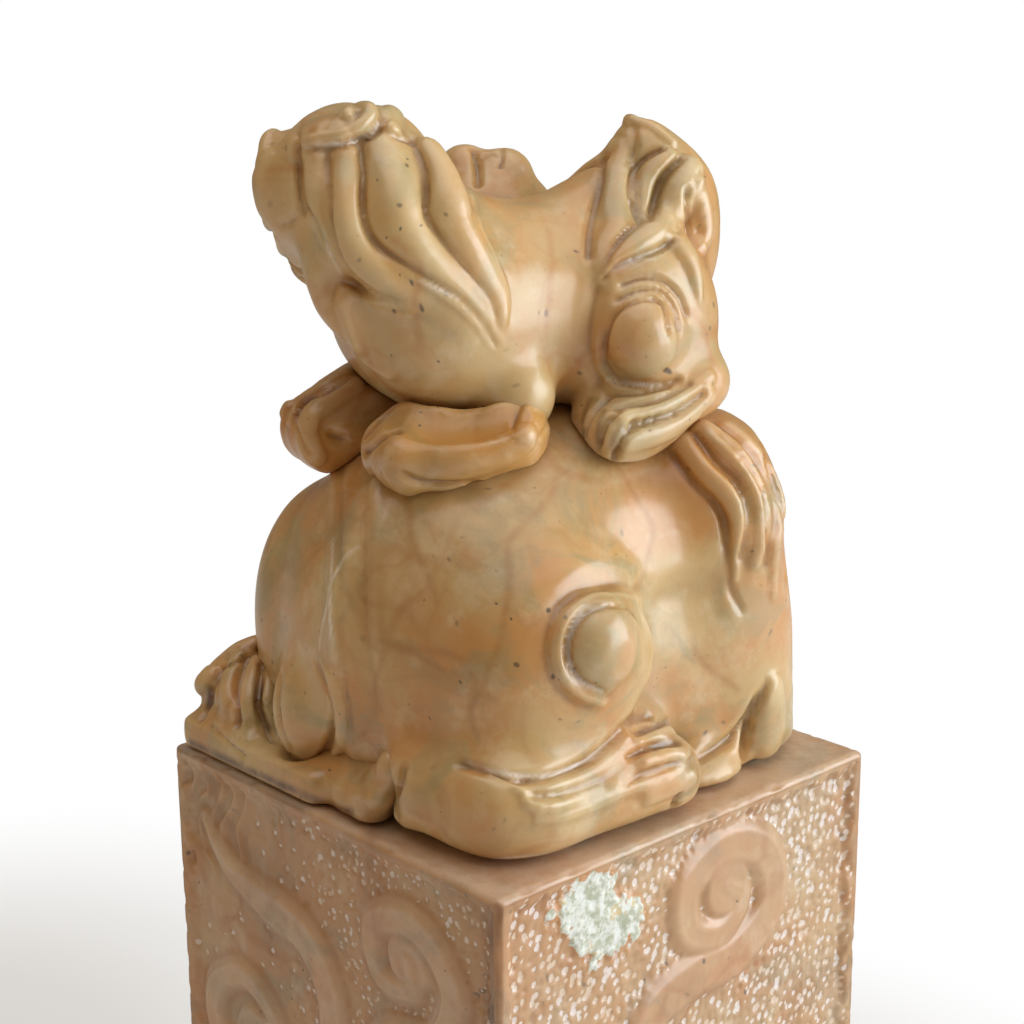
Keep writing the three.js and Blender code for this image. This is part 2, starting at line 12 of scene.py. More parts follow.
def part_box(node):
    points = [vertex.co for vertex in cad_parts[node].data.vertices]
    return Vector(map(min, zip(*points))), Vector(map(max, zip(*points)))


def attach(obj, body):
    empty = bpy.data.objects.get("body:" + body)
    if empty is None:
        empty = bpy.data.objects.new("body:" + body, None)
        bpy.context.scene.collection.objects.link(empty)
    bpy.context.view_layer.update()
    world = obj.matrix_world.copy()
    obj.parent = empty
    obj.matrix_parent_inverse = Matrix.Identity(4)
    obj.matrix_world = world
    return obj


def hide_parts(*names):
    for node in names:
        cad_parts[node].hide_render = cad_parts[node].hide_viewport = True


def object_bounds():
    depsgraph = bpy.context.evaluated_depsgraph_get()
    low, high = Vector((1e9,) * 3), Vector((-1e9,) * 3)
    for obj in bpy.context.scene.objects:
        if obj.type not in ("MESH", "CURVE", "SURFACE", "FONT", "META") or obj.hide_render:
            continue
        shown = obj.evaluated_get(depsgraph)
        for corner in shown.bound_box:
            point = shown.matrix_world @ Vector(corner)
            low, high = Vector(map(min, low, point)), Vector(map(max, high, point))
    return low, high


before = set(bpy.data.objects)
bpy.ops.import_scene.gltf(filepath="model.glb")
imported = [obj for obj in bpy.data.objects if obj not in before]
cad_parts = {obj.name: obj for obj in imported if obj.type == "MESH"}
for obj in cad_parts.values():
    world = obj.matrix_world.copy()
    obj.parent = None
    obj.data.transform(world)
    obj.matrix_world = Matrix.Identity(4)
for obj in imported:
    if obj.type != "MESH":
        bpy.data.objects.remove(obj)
cad_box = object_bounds()

MM = 0.001
BLOCK_LOW, BLOCK_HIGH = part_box("seal_block")
BLOCK_TOP = BLOCK_HIGH.z / MM
# How far the block's sides stay inside the CAD's, so that rounding never takes them past
BLOCK_SPARE = 0.0002
BLOCK_SIDE = (BLOCK_HIGH.x - BLOCK_LOW.x) / MM - BLOCK_SPARE

# Camera, as the photograph was taken
PHOTO_SIZE = 1024
SENSOR_MM = 36
LENS_MM = 66.1
CAMERA_AT = Vector((0.17284, -0.15796, 0.17774))
CAMERA_AZIMUTH = math.radians(47.647)
CAMERA_ELEVATION = math.radians(14.475)
CAMERA_ROLL = math.radians(-0.435)
FOCAL_PX = LENS_MM / SENSOR_MM * PHOTO_SIZE


def camera_axes():
    back = Vector((
        math.sin(CAMERA_AZIMUTH) * math.cos(CAMERA_ELEVATION),
        -math.cos(CAMERA_AZIMUTH) * math.cos(CAMERA_ELEVATION),
        math.sin(CAMERA_ELEVATION),
    ))
    right = (-back).cross(Vector((0, 0, 1))).normalized()
    up = back.cross(right)
    tilt = Matrix.Rotation(CAMERA_ROLL, 3, back)
    return tilt @ right, tilt @ up, back


CAMERA_RIGHT, CAMERA_UP, CAMERA_BACK = camera_axes()


def photo_ray(x, y):
    """The direction in which the photograph's pixel looks."""
    half = PHOTO_SIZE / 2
    across = CAMERA_RIGHT * ((x - half) / FOCAL_PX)
    down = CAMERA_UP * ((y - half) / FOCAL_PX)
    return (across - down - CAMERA_BACK).normalized()


def make_camera():
    data = bpy.data.cameras.new("camera")
    data.lens = LENS_MM
    data.sensor_width = SENSOR_MM
    data.clip_start = 0.01
    camera = bpy.data.objects.new("camera", data)
    turn = Matrix((CAMERA_RIGHT, CAMERA_UP, CAMERA_BACK)).transposed().to_4x4()
    camera.matrix_world = Matrix.Translation(CAMERA_AT) @ turn
    bpy.context.scene.collection.objects.link(camera)
    bpy.context.scene.camera = camera


# Small helpers; lengths in millimetres
def mesh_places(mesh):
    flat = np.empty(len(mesh.vertices) * 3, np.float32)
    mesh.vertices.foreach_get("co", flat)
    return flat.reshape(-1, 3).astype(float) / MM


def set_places(mesh, places):
    mesh.vertices.foreach_set("co", (places * MM).astype(np.float32).ravel())
    mesh.update()


def set_attribute(mesh, name, values):
    attribute = mesh.attributes.new(name, "FLOAT", "POINT")
    attribute.data.foreach_set("value", values.astype(np.float32))


def finished(shape, name):
    """The shape as a mesh."""
    mesh = bpy.data.meshes.new(name)
    shape.to_mesh(mesh)
    shape.free()
    return mesh


def show(mesh, name, material, nodes):
    """Puts a finished mesh in the scene as a piece of the stone."""
    mesh.name = name
    mesh.polygons.foreach_set("use_smooth", np.ones(len(mesh.polygons), bool))
    mesh.materials.clear()
    mesh.materials.append(material)
    piece = bpy.data.objects.new(name, mesh)
    bpy.context.scene.collection.objects.link(piece)
    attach(piece, "root")
    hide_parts(*nodes)


def ramp(values, start, length):
    """0 up to the start and 1 from the length beyond it; a negative length goes the other way."""
    return np.clip((values - start) / length, 0, 1)


def eased(share):
    """A share with a soft start and a soft end."""
    return share * share * (3 - 2 * share)


# Carving tools: a piece starts as a copy of CAD nodes run together, and its skin is then
# pushed out and cut in along strokes, as a carver works from the rough to the fine.
SEAM_FILL = 0.3
WELD = 0.001
LUMP_FINENESS = 3
BOX_SOFT = 0.7
BOX_SPARE = 0.001
PIXEL_STEP = 2.0
PLACE_STEP = 0.4
STEADY_TIMES = 6
RUB = 0.6
SWELL = -0.58
NEAR_CORE = 1.3
STAIN_CORE = 1.2
ROPE_CURVE = 0.75
GROOVE_CURVE = 1.6
DOME_CURVE = 0.5
LAP_CURVE = 1.5
LAP_EDGE = 0.6
LAP_ENDS = 0.08
BANK_EDGE = 2.6
FLARE_CURVE = 1.5
LEAST_FACING = 0.15
HOLLOW_ROUNDS = 10
HOLLOW_FULL = 0.25


def rough_out(nodes, lumps):
    """One mesh of copies of CAD nodes, each grown to close the cut lines between them.

    Lumps add stone: each is a middle and three radii in millimetres, cut flat on the block."""
    joined = bmesh.new()
    for middle, radii in lumps:
        place = Matrix.Translation(Vector(middle) * MM) @ Matrix.Diagonal((*(Vector(radii) * MM), 1))
        lump = bmesh.ops.create_icosphere(joined, subdivisions=LUMP_FINENESS, radius=1, matrix=place)
        for vert in lump["verts"]:
            vert.co.z = max(vert.co.z, BLOCK_HIGH.z)
    for name in nodes:
        one = bmesh.new()
        one.from_mesh(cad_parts[name].data)
        bmesh.ops.remove_doubles(one, verts=one.verts, dist=WELD * MM)
        one.normal_update()
        for vert in one.verts:
            vert.co += vert.normal * SEAM_FILL * MM
        part = finished(one, "part")
        joined.from_mesh(part)
        bpy.data.meshes.remove(part)
    return finished(joined, "rough")


def remeshed(mesh, voxel):
    """The mesh as one even skin of small quads."""
    holder = bpy.data.objects.new("holder", mesh)
    bpy.context.scene.collection.objects.link(holder)
    modifier = holder.modifiers.new("skin", "REMESH")
    modifier.mode = "VOXEL"
    modifier.voxel_size = voxel * MM
    modifier.adaptivity = 0
    depsgraph = bpy.context.evaluated_depsgraph_get()
    result = bpy.data.meshes.new_from_object(holder.evaluated_get(depsgraph))
    bpy.data.objects.remove(holder)
    bpy.data.meshes.remove(mesh)
    return result


class Stroke:
    """A line on a carving's skin, with the skin's direction along it."""

    def __init__(self, points, normals, hand=1):
        self.points = self.steadied(np.array(points, float).reshape(-1, 3))
        self.normals = self.steadied(np.array(normals, float).reshape(-1, 3))
        self.hand = hand

    def steadied(self, rows):
        """The rows evened out along the stroke, with both ends kept."""
        for _ in range(STEADY_TIMES):
            if len(rows) > 2:
                rows[1:-1] = (rows[:-2] + 2 * rows[1:-1] + rows[2:]) / 4
        return rows

    def share(self, values, t):
        """Values given at even places along the stroke, read at t from 0 to 1."""
        values = np.atleast_1d(np.array(values, float))
        if len(values) == 1:
            return np.full_like(t, values[0])
        return np.interp(t, np.linspace(0, 1, len(values)), values)


def smooth_path(corners, step):
    """Points at even steps on a smooth curve through the corners."""
    corners = np.array(corners, float)
    ends = np.vstack([2 * corners[0] - corners[1], corners, 2 * corners[-1] - corners[-2]])
    path = []
    for a, b, c, d in zip(ends[:-3], ends[1:-2], ends[2:-1], ends[3:]):
        count = max(2, int(np.linalg.norm(c - b) / step))
        t = np.linspace(0, 1, count, endpoint=False)[:, None]
        curve = 2 * b + (c - a) * t + (2 * a - 5 * b + 4 * c - d) * t**2
        path.append((curve + (3 * b - a - 3 * c + d) * t**3) / 2)
    path.append(corners[-1:])
    return np.vstack(path)


class Carving:
    """A stone skin whose points are moved, in millimetres."""

    def __init__(self, nodes, coarse, softening, fine, carved_anew=(), lumps=()):
        self.nodes = list(nodes) + list(carved_anew)
        self.mesh = remeshed(rough_out(nodes, lumps), coarse)
        self.read()
        self.soften(softening)
        self.renew(fine)

    def read(self):
        self.points = mesh_places(self.mesh)
        ends = np.empty(len(self.mesh.edges) * 2, np.int32)
        self.mesh.edges.foreach_get("vertices", ends)
        self.edges = ends.reshape(-1, 2)
        self.line_paints = {name: np.zeros(len(self.points)) for name in ("veins_and_edge_shade", "wax_and_sheen", "dark")}
        self.write()

    def write(self):
        """Gives the moved points back to the mesh, and reads the skin's new directions."""
        set_places(self.mesh, self.points)
        normals = np.empty(self.points.size, np.float32)
        self.mesh.vertex_normals.foreach_get("vector", normals)
        self.normals = normals.reshape(-1, 3).astype(float)
        self.tree = None

    def renew(self, voxel):
        """Gives the carving a new skin of even quads."""
        self.write()
        self.mesh = remeshed(self.mesh, voxel)
        self.read()
        self.relax(2)

    def neighbours_mean(self, values):
        a, b = self.edges.T
        size = len(values)
        count = np.bincount(self.edges.ravel(), minlength=size)
        columns = [np.bincount(a, v[b], size) + np.bincount(b, v[a], size) for v in values.T]
        return np.stack([total / count for total in columns], 1)

    def relax(self, times):
        """Evens out the skin, and lets it swell back so that it doesn't shrink."""
        for _ in range(times):
            for share in (RUB, SWELL):
                self.points += (self.neighbours_mean(self.points) - self.points) * share
        self.write()

    def soften(self, times, where=None):
        """Rubs the skin down: ridges sink and hollows fill, within the share given for each point."""
        for _ in range(times):
            move = (self.neighbours_mean(self.points) - self.points) * RUB
            self.points += move if where is None else move * where[:, None]
        self.write()

    def near(self, place, radius):
        """A share for each point: 1 at the place, easing to 0 at the radius."""
        gap = np.linalg.norm(self.points - np.array(place), axis=1) / radius
        return eased(np.clip(NEAR_CORE - NEAR_CORE * gap, 0, 1))

    def rub(self, pixels, radius, times):
        """Rubs the skin smooth around places in the photograph."""
        where = sum(self.near(self.spot(pixel), radius) for pixel in pixels)
        self.soften(times, np.clip(where, 0, 1))

    def skin(self):
        if self.tree is None:
            shape = bmesh.new()
            shape.from_mesh(self.mesh)
            self.tree = BVHTree.FromBMesh(shape)
            shape.free()
        return self.tree

    def traced(self, pixels):
        """A stroke through pixels of the photograph, laid on the skin as the camera saw it."""
        points, normals = [], []
        for x, y in smooth_path(pixels, PIXEL_STEP):
            spot, normal, _, _ = self.skin().ray_cast(CAMERA_AT, photo_ray(x, y))
            if spot is not None:
                points.append(spot / MM)
                normals.append(normal)
        return Stroke(points, normals)

    def spot(self, pixel):
        """The place on the skin that a pixel of the photograph shows."""
        return self.traced([pixel, (pixel[0] + 1, pixel[1])]).points[0]

    def nearest(self, places, hand):
        """A stroke through the places on the skin that are nearest to the given ones."""
        found = [self.skin().find_nearest(Vector(place) * MM) for place in places]
        return Stroke([spot / MM for spot, *_ in found], [normal for _, normal, *_ in found], hand)

    def laid(self, corners, hand=1):
        """A stroke through places in millimetres, laid on the nearest skin."""
        return self.nearest(smooth_path(corners, PLACE_STEP), hand)

    def mirrored(self, stroke, across, through):
        """The same stroke on the other side of a plane, laid on the nearest skin."""
        across = np.array(across, float)
        away = (stroke.points - np.array(through, float)) @ across
        return self.nearest(stroke.points - 2 * away[:, None] * across, -stroke.hand)

    def beside(self, stroke, reach):
        """The skin's points near a stroke: which, how far off, how far along, and on which side."""
        if len(stroke.points) < 2:
            return np.empty(0, int), np.empty(0), np.empty(0), np.empty(0)
        low = stroke.points.min(0) - reach
        high = stroke.points.max(0) + reach
        near = np.nonzero(np.all((self.points > low) & (self.points < high), axis=1))[0]
        p = self.points[near]
        start, end = stroke.points[:-1], stroke.points[1:]
        along = end - start
        length = np.maximum((along**2).sum(1), 1e-12)
        best = np.full(len(p), np.inf)
        share = np.zeros(len(p))
        foot = np.zeros((len(p), 3))
        step = np.zeros(len(p), int)
        for k in range(len(start)):
            t = np.clip(((p - start[k]) @ along[k]) / length[k], 0, 1)
            spot = start[k] + t[:, None] * along[k]
            gap = ((p - spot) ** 2).sum(1)
            closer = gap < best
            best[closer] = gap[closer]
            share[closer] = (k + t[closer]) / len(start)
            foot[closer] = spot[closer]
            step[closer] = k
        facing = (self.normals[near] * stroke.normals[step]).sum(1) > LEAST_FACING
        keep = (best < reach**2) & facing
        side = np.cross(along / np.sqrt(length)[:, None], stroke.normals[:-1])
        away = ((p - foot) * side[step]).sum(1) * stroke.hand
        return near[keep], np.sqrt(best[keep]), share[keep], away[keep]

    def under(self, stroke, width):
        """The skin's points within a stroke's width: which, how far along, and gap over half width."""
        near, gap, t, _ = self.beside(stroke, np.max(width) * 0.5)
        return near, t, gap / np.maximum(stroke.share(width, t) * 0.5, 1e-3)

    def push(self, near, height):
        self.points[near] += self.normals[near] * height[:, None]

    def rope(self, stroke, width, height):
        """Raises a round strand along a stroke; width and height may change along it."""
        near, t, gap = self.under(stroke, width)
        self.push(near, stroke.share(height, t) * np.clip(1 - gap**2, 0, 1) ** ROPE_CURVE)

    def groove(self, stroke, width, depth):
        """Cuts a V with soft shoulders along a stroke."""
        near, t, gap = self.under(stroke, width)
        self.push(near, -stroke.share(depth, t) * np.clip(1 - gap, 0, 1) ** GROOVE_CURVE)

    def lap(self, stroke, fade, height, edge=LAP_EDGE):
        """Lifts the skin on the stroke's right-hand side, with a crisp edge along the stroke."""
        near, gap, t, side = self.beside(stroke, np.max(fade))
        over = np.clip(1 - gap / stroke.share(fade, t), 0, 1) ** LAP_CURVE
        rise = eased(np.clip(side / edge + 0.5, 0, 1))
        ends = np.clip(np.minimum(t, 1 - t) / LAP_ENDS, 0, 1)
        self.push(near, stroke.share(height, t) * over * rise * ends)

    def bank(self, stroke, fade, depth):
        """Sinks the skin on the stroke's right-hand side, under a rounded brow."""
        self.lap(stroke, fade, -np.atleast_1d(depth), edge=BANK_EDGE)

    def drag(self, place, radius, move):
        """Moves the stone around a place, easing out to the radius."""
        self.points += self.near(place, radius)[:, None] * np.array(move, float)
        self.write()

    def stand_broad(self, height, amount):
        """Spreads the lowest stone outward, so that it meets the block without an undercut."""
        low = ramp(self.points[:, 2], BLOCK_TOP + height, -height) ** FLARE_CURVE
        self.points[:, :2] += self.normals[:, :2] * (low * amount)[:, None]
        self.write()

    def bump(self, place, radius, height):
        """Raises a dome, or sinks a dish where the height is negative."""
        gap = np.linalg.norm(self.points - np.array(place), axis=1)
        near = np.nonzero(gap < radius)[0]
        self.push(near, height * (1 - (gap[near] / radius) ** 2) ** DOME_CURVE)

    def carve(self, ropes=(), grooves=(), laps=(), banks=(), mirror=None):
        """Works strokes read off the photograph into the skin, and their mirror images if asked.

        Each stroke is its pixels, its widths and its heights in millimetres."""
        tools = ((self.rope, ropes), (self.groove, grooves), (self.lap, laps), (self.bank, banks))
        for tool, strokes in tools:
            laid = [(self.traced(pixels), width, height) for pixels, width, height in strokes]
            if mirror:
                laid += [(self.mirrored(s, *mirror), width, height) for s, width, height in laid]
            for stroke, width, height in laid:
                tool(stroke, width, height)
            self.write()

    def paint_lines(self, kind, paths, width, strength, mirror=None):
        """Colours lines read off the photograph: veins, white waxy lines that are also painted glints, and
        dark lines of stain, some of them painted shadow.
        """
        for pixels in paths:
            strokes = [self.traced(pixels)]
            if mirror:
                strokes.append(self.mirrored(strokes[0], *mirror))
            for stroke in strokes:
                near, t, gap = self.under(stroke, width)
                share = np.clip(STAIN_CORE - STAIN_CORE * gap, 0, 1) * stroke.share(strength, t)
                self.line_paints[kind][near] = np.maximum(self.line_paints[kind][near], share)

    def hollows(self):
        """How deep each point lies in a crease, from 0 to 1, and below 0 on a ridge."""
        mean = self.points.copy()
        for _ in range(HOLLOW_ROUNDS):
            mean = self.neighbours_mean(mean)
        depth = ((mean - self.points) * self.normals).sum(1)
        return np.clip(depth / HOLLOW_FULL, -1, 1)

    def keep_in_box(self):
        """Presses points that come near the CAD's outer box softly back inside it."""
        low, high = np.array(cad_box[0]) / MM, np.array(cad_box[1]) / MM
        for way, wall in ((1, high), (-1, -low)):
            past = np.maximum(self.points * way - wall + BOX_SOFT, 0)
            pressed = wall - BOX_SOFT * np.exp(-past / BOX_SOFT) - BOX_SPARE
            self.points = np.where(past > 0, pressed * way, self.points)

    def finish(self, name, material):
        self.keep_in_box()
        self.write()
        set_attribute(self.mesh, "hollow", self.hollows())
        for kind, values in self.line_paints.items():
            set_attribute(self.mesh, kind, values)
        show(self.mesh, name, material, self.nodes)


# Shader helpers
def place_node(tree, kind, inputs=None, **settings):
    node = tree.nodes.new(kind)
    for name, value in settings.items():
        setattr(node, name, value)
    return fill(tree, node, inputs or {})


def fill(tree, node, inputs):
    """Links or sets the node's inputs."""
    for name, value in inputs.items():
        if isinstance(value, bpy.types.NodeSocket):
            tree.links.new(value, node.inputs[name])
        else:
            node.inputs[name].default_value = value
    return node


def mix_colour(tree, share, first, second):
    return place_node(tree, "ShaderNodeMix", {0: share, 6: first, 7: second}, data_type="RGBA").outputs[2]


def spread(tree, value, low, high, to_low=0.0, to_high=1.0):
    """A value eased from one range onto another, and held at its ends."""
    ends = {"Value": value, "From Min": low, "From Max": high, "To Min": to_low, "To Max": to_high}
    return place_node(tree, "ShaderNodeMapRange", ends, interpolation_type="SMOOTHSTEP").outputs["Result"]


def reckon(tree, operation, first, second=0.0):
    return place_node(tree, "ShaderNodeMath", {0: first, 1: second}, operation=operation).outputs[0]


def times(tree, first, second):
    return reckon(tree, "MULTIPLY", first, second)


def plus(tree, first, second):
    return reckon(tree, "ADD", first, second)


def vector_math(tree, operation, first, second=(0, 0, 0)):
    return place_node(tree, "ShaderNodeVectorMath", {0: first, 1: second}, operation=operation).outputs


def noise(tree, place, grain_mm, detail=4.0, rough=0.55, warp=0.0):
    """Cloudy noise with features of about the given size."""
    look = {"Vector": place, "Scale": 1 / MM / grain_mm, "Detail": detail, "Roughness": rough}
    return place_node(tree, "ShaderNodeTexNoise", {**look, "Distortion": warp}).outputs["Fac"]


def cells(tree, place, per_metre, feature):
    look = {"Vector": place, "Scale": per_metre}
    return place_node(tree, "ShaderNodeTexVoronoi", look, feature=feature).outputs


def attribute(tree, name):
    return place_node(tree, "ShaderNodeAttribute", attribute_name=name).outputs["Fac"]


def moved(tree, place, **settings):
    return place_node(tree, "ShaderNodeMapping", {"Vector": place, **settings}).outputs[0]


def new_group(name, inputs, outputs):
    """A shader group with named sockets: kinds are COLOR, VALUE and VECTOR."""
    kinds = {"COLOR": "NodeSocketColor", "VALUE": "NodeSocketFloat", "VECTOR": "NodeSocketVector"}
    group = bpy.data.node_groups.new(name, "ShaderNodeTree")
    for label, kind in inputs.items():
        group.interface.new_socket(label, in_out="INPUT", socket_type=kinds[kind])
    for label, kind in outputs.items():
        group.interface.new_socket(label, in_out="OUTPUT", socket_type=kinds[kind])
    return group, group.nodes.new("NodeGroupInput").outputs, group.nodes.new("NodeGroupOutput").inputs


def rgb(red, green, blue):
    """A colour as a screen shows it, turned to the light that it stands for."""
    channels = [c / 12.92 if c <= 0.04045 else ((c + 0.055) / 1.055) ** 2.4 for c in (red, green, blue)]
    return (*channels, 1.0)


# Soapstone: sizes of its patterns in millimetres, and how strong they are
BEND_PER_METRE = 60.0
BEND = (0.014, 0.014, 0.014)
CLOUD_SIZE = 19
PATCH_SIZE = 13
PATCH_SHARE = 0.8
PATCH_SHIFT = (0.31, 0.17, 0.05)
MILK_SIZE = 7
MILK_SHARE = 0.3
MILK = rgb(0.9, 0.84, 0.72)
VEINED_SIZE = 24
SPECKED_SIZE = 20
SPECKED_LEAST, SPECKED_MOST = 0.15, 0.9
SPECK = rgb(0.27, 0.23, 0.17)
FINE_SIZE = 2.2
FINE_SHARE = 0.16
HALO_WIDER, HALO_SHARE = 5, 0.6
# Each net of veins: cells in a metre, width of its lines, and strength
VEIN_NETS = ((46.0, 0.05, 0.5), (105.0, 0.06, 0.25))
# Each crop of specks: cells in a metre, size, and share of cells that have none
SPECKS = ((330.0, 0.19, 0.72), (900.0, 0.23, 0.88))


def stone_colour_group():
    """Soapstone: slow clouds of three tints, thin branching veins, and dark specks."""
    colours = {label: "COLOR" for label in ("Body", "Warm", "Grey", "Vein")}
    tree, given, out = new_group(
        "stone colour", {"Place": "VECTOR", **colours, "Vein Share": "VALUE"}, {"Color": "COLOR"}
    )
    place = given["Place"]
    waves = {"Vector": place, "Scale": BEND_PER_METRE, "Detail": 2.5, "Roughness": 0.5}
    bends = place_node(tree, "ShaderNodeTexNoise", waves).outputs["Color"]
    bent = vector_math(tree, "ADD", place, vector_math(tree, "MULTIPLY", bends, BEND)[0])[0]
    warm = spread(tree, noise(tree, bent, CLOUD_SIZE, detail=5, rough=0.6, warp=0.4), 0.37, 0.63)
    colour = mix_colour(tree, warm, given["Body"], given["Warm"])
    shifted = moved(tree, bent, Location=PATCH_SHIFT)
    patches = spread(tree, noise(tree, shifted, PATCH_SIZE, detail=7, rough=0.66, warp=0.7), 0.46, 0.66)
    colour = mix_colour(tree, times(tree, patches, PATCH_SHARE), colour, given["Grey"])
    milk = spread(tree, noise(tree, place, MILK_SIZE, detail=5, rough=0.65), 0.5, 0.7, 0.0, MILK_SHARE)
    colour = mix_colour(tree, milk, colour, MILK)
    veins_and_edge_shade = 0.0
    for per_metre, width, strength in VEIN_NETS:
        edge = cells(tree, bent, per_metre, "DISTANCE_TO_EDGE")["Distance"]
        line = spread(tree, edge, 0.0, width, strength, 0.0)
        halo = spread(tree, edge, 0.0, width * HALO_WIDER, strength * HALO_SHARE, 0.0)
        veins_and_edge_shade = plus(tree, veins_and_edge_shade, plus(tree, line, halo))
    veined = spread(tree, noise(tree, shifted, VEINED_SIZE, detail=3), 0.42, 0.6)
    veins_and_edge_shade = times(tree, times(tree, veins_and_edge_shade, veined), given["Vein Share"])
    colour = mix_colour(tree, veins_and_edge_shade, colour, given["Vein"])
    gather = noise(tree, shifted, SPECKED_SIZE, detail=3)
    gather = spread(tree, gather, 0.42, 0.6, SPECKED_LEAST, SPECKED_MOST)
    for per_metre, size, bare in SPECKS:
        dots = cells(tree, bent, per_metre, "F1")
        dot = spread(tree, dots["Distance"], size * 0.4, size, 1.0, 0.0)
        pick = place_node(tree, "ShaderNodeSeparateColor", {"Color": dots["Color"]}).outputs[0]
        dot = times(tree, dot, spread(tree, pick, bare, bare + 0.04))
        colour = mix_colour(tree, times(tree, dot, gather), colour, SPECK)
    fine = spread(tree, noise(tree, place, FINE_SIZE, detail=4), 0.35, 0.65, 0.0, FINE_SHARE)
    tree.links.new(mix_colour(tree, fine, colour, given["Warm"]), out["Color"])
    return tree


# Painted shade with dust and wax in the creases: size of its unevenness, and its share
SHADE_AND_DUST_SIZE = 5
SHADE_AND_DUST_SHARE = 0.55
RUBBED_SHARE = 0.22


def crease_shade_and_dust_group():
    """Painted shade together with dust and waxy residue darkens the creases, and ridges are rubbed paler."""
    tree, given, out = new_group(
        "crease shade and dust",
        {"Color": "COLOR", "Hollow": "VALUE", "Shade And Dust": "COLOR", "Rubbed": "COLOR", "Place": "VECTOR"},
        {"Color": "COLOR"},
    )
    uneven = spread(tree, noise(tree, given["Place"], SHADE_AND_DUST_SIZE, detail=4), 0.35, 0.65, 0.45, 1.0)
    # Painted shade: the deeper a crease, the darker it is painted
    deep = times(tree, spread(tree, given["Hollow"], 0.15, 1.0), uneven)
    colour = mix_colour(tree, times(tree, deep, SHADE_AND_DUST_SHARE), given["Color"], given["Shade And Dust"])
    high = spread(tree, times(tree, given["Hollow"], -1.0), 0.15, 0.8, 0.0, RUBBED_SHARE)
    tree.links.new(mix_colour(tree, high, colour, given["Rubbed"]), out["Color"])
    return tree


GRAIN_SIZE, GRAIN_SHARE = 0.9, 0.35
SWELL_SIZE = 6
SCRATCH_SIZE, SCRATCH_SHARE = 0.7, 0.25
SCRATCH_LONG = (1.0, 0.3, 0.12)
WEAR_SIZE = 9
GLOSS = {"Gloss Low": 0.3, "Gloss High": 0.48}
BUMP_SHARE = 0.12
BUMP_HEIGHT = 0.0004


def polish_group():
    """Hand polish: tiny pores and scratches, and a gloss that changes from place to place."""
    results = {"Height": "VALUE", "Roughness": "VALUE"}
    asked = {"Place": "VECTOR", "Gloss Low": "VALUE", "Gloss High": "VALUE"}
    tree, given, out = new_group("hand polish", asked, results)
    place = given["Place"]
    grain = times(tree, noise(tree, place, GRAIN_SIZE, detail=5, rough=0.6), GRAIN_SHARE)
    swell = noise(tree, place, SWELL_SIZE, detail=3)
    scratches = noise(tree, moved(tree, place, Scale=SCRATCH_LONG), SCRATCH_SIZE, detail=2)
    height = plus(tree, plus(tree, grain, swell), times(tree, scratches, SCRATCH_SHARE))
    wear = spread(tree, noise(tree, place, WEAR_SIZE, detail=5), 0.35, 0.65)
    tree.links.new(height, out["Height"])
    low = times(tree, given["Gloss Low"], reckon(tree, "SUBTRACT", 1.0, wear))
    high = times(tree, given["Gloss High"], wear)
    tree.links.new(plus(tree, low, high), out["Roughness"])
    return tree


STONE_COLOUR = stone_colour_group()
CREASE_SHADE_AND_DUST = crease_shade_and_dust_group()
POLISH = polish_group()

# Painted shade with dust: the colour that the creases darken to
SHADE_AND_DUST = rgb(0.5, 0.3, 0.13)
RUBBED = rgb(0.88, 0.8, 0.64)
# Dark stain, and painted shadow where dark lines mark gaps under the ledge and between strands
STAIN_AND_SHADOW = rgb(0.36, 0.22, 0.1)
# White wax in creases and along contact lines, painted also as the glints and sheen of light there
WAX_AND_SHEEN = rgb(0.93, 0.88, 0.82)
STONE_LOOK = {
    "Subsurface Weight": 0.18,
    "Subsurface Radius": (1.0, 0.55, 0.3),
    "Subsurface Scale": 0.003,
    "Coat Weight": 0.42,
    "Coat Roughness": 0.15,
    "IOR": 1.56,
}


def stone(name, tints, vein_share, extra=None):
    """Waxed soapstone that lets a little light in; its tints are body, warm, grey and the veins' colour."""
    material = bpy.data.materials.new(name)
    material.use_nodes = True
    tree = material.node_tree
    place = place_node(tree, "ShaderNodeTexCoord").outputs["Object"]
    tints = {label: rgb(*tint) for label, tint in zip(("Body", "Warm", "Grey", "Vein"), tints)}
    given = {"Place": place, **tints, "Vein Share": vein_share}
    colour = place_node(tree, "ShaderNodeGroup", given, node_tree=STONE_COLOUR).outputs["Color"]
    given = {"Place": place, "Color": colour, "Shade And Dust": SHADE_AND_DUST, "Rubbed": RUBBED}
    # The hollow attribute darkens the creases with painted shade and dust
    given["Hollow"] = attribute(tree, "hollow")
    colour = place_node(tree, "ShaderNodeGroup", given, node_tree=CREASE_SHADE_AND_DUST).outputs["Color"]
    # Painted lines: veins with painted edge shade, white wax lines with painted glints, and dark stain with
    # painted shadow
    for kind, shade in (("veins_and_edge_shade", tints["Vein"]), ("dark", STAIN_AND_SHADOW), ("wax_and_sheen", WAX_AND_SHEEN)):
        patchy = spread(tree, noise(tree, place, FINE_SIZE, detail=5), 0.35, 0.6, 0.55, 1.0)
        colour = mix_colour(tree, times(tree, attribute(tree, kind), patchy), colour, shade)
    polish = place_node(tree, "ShaderNodeGroup", {"Place": place, **GLOSS}, node_tree=POLISH).outputs
    roughness = polish["Roughness"]
    if extra:
        colour, roughness = extra(tree, place, colour, roughness)
    bumps = {"Strength": BUMP_SHARE, "Distance": BUMP_HEIGHT, "Height": polish["Height"]}
    normal = place_node(tree, "ShaderNodeBump", bumps).outputs[0]
    surface = {"Base Color": colour, "Roughness": roughness, "Normal": normal, **STONE_LOOK}
    fill(tree, tree.nodes["Principled BSDF"], surface)
    return material


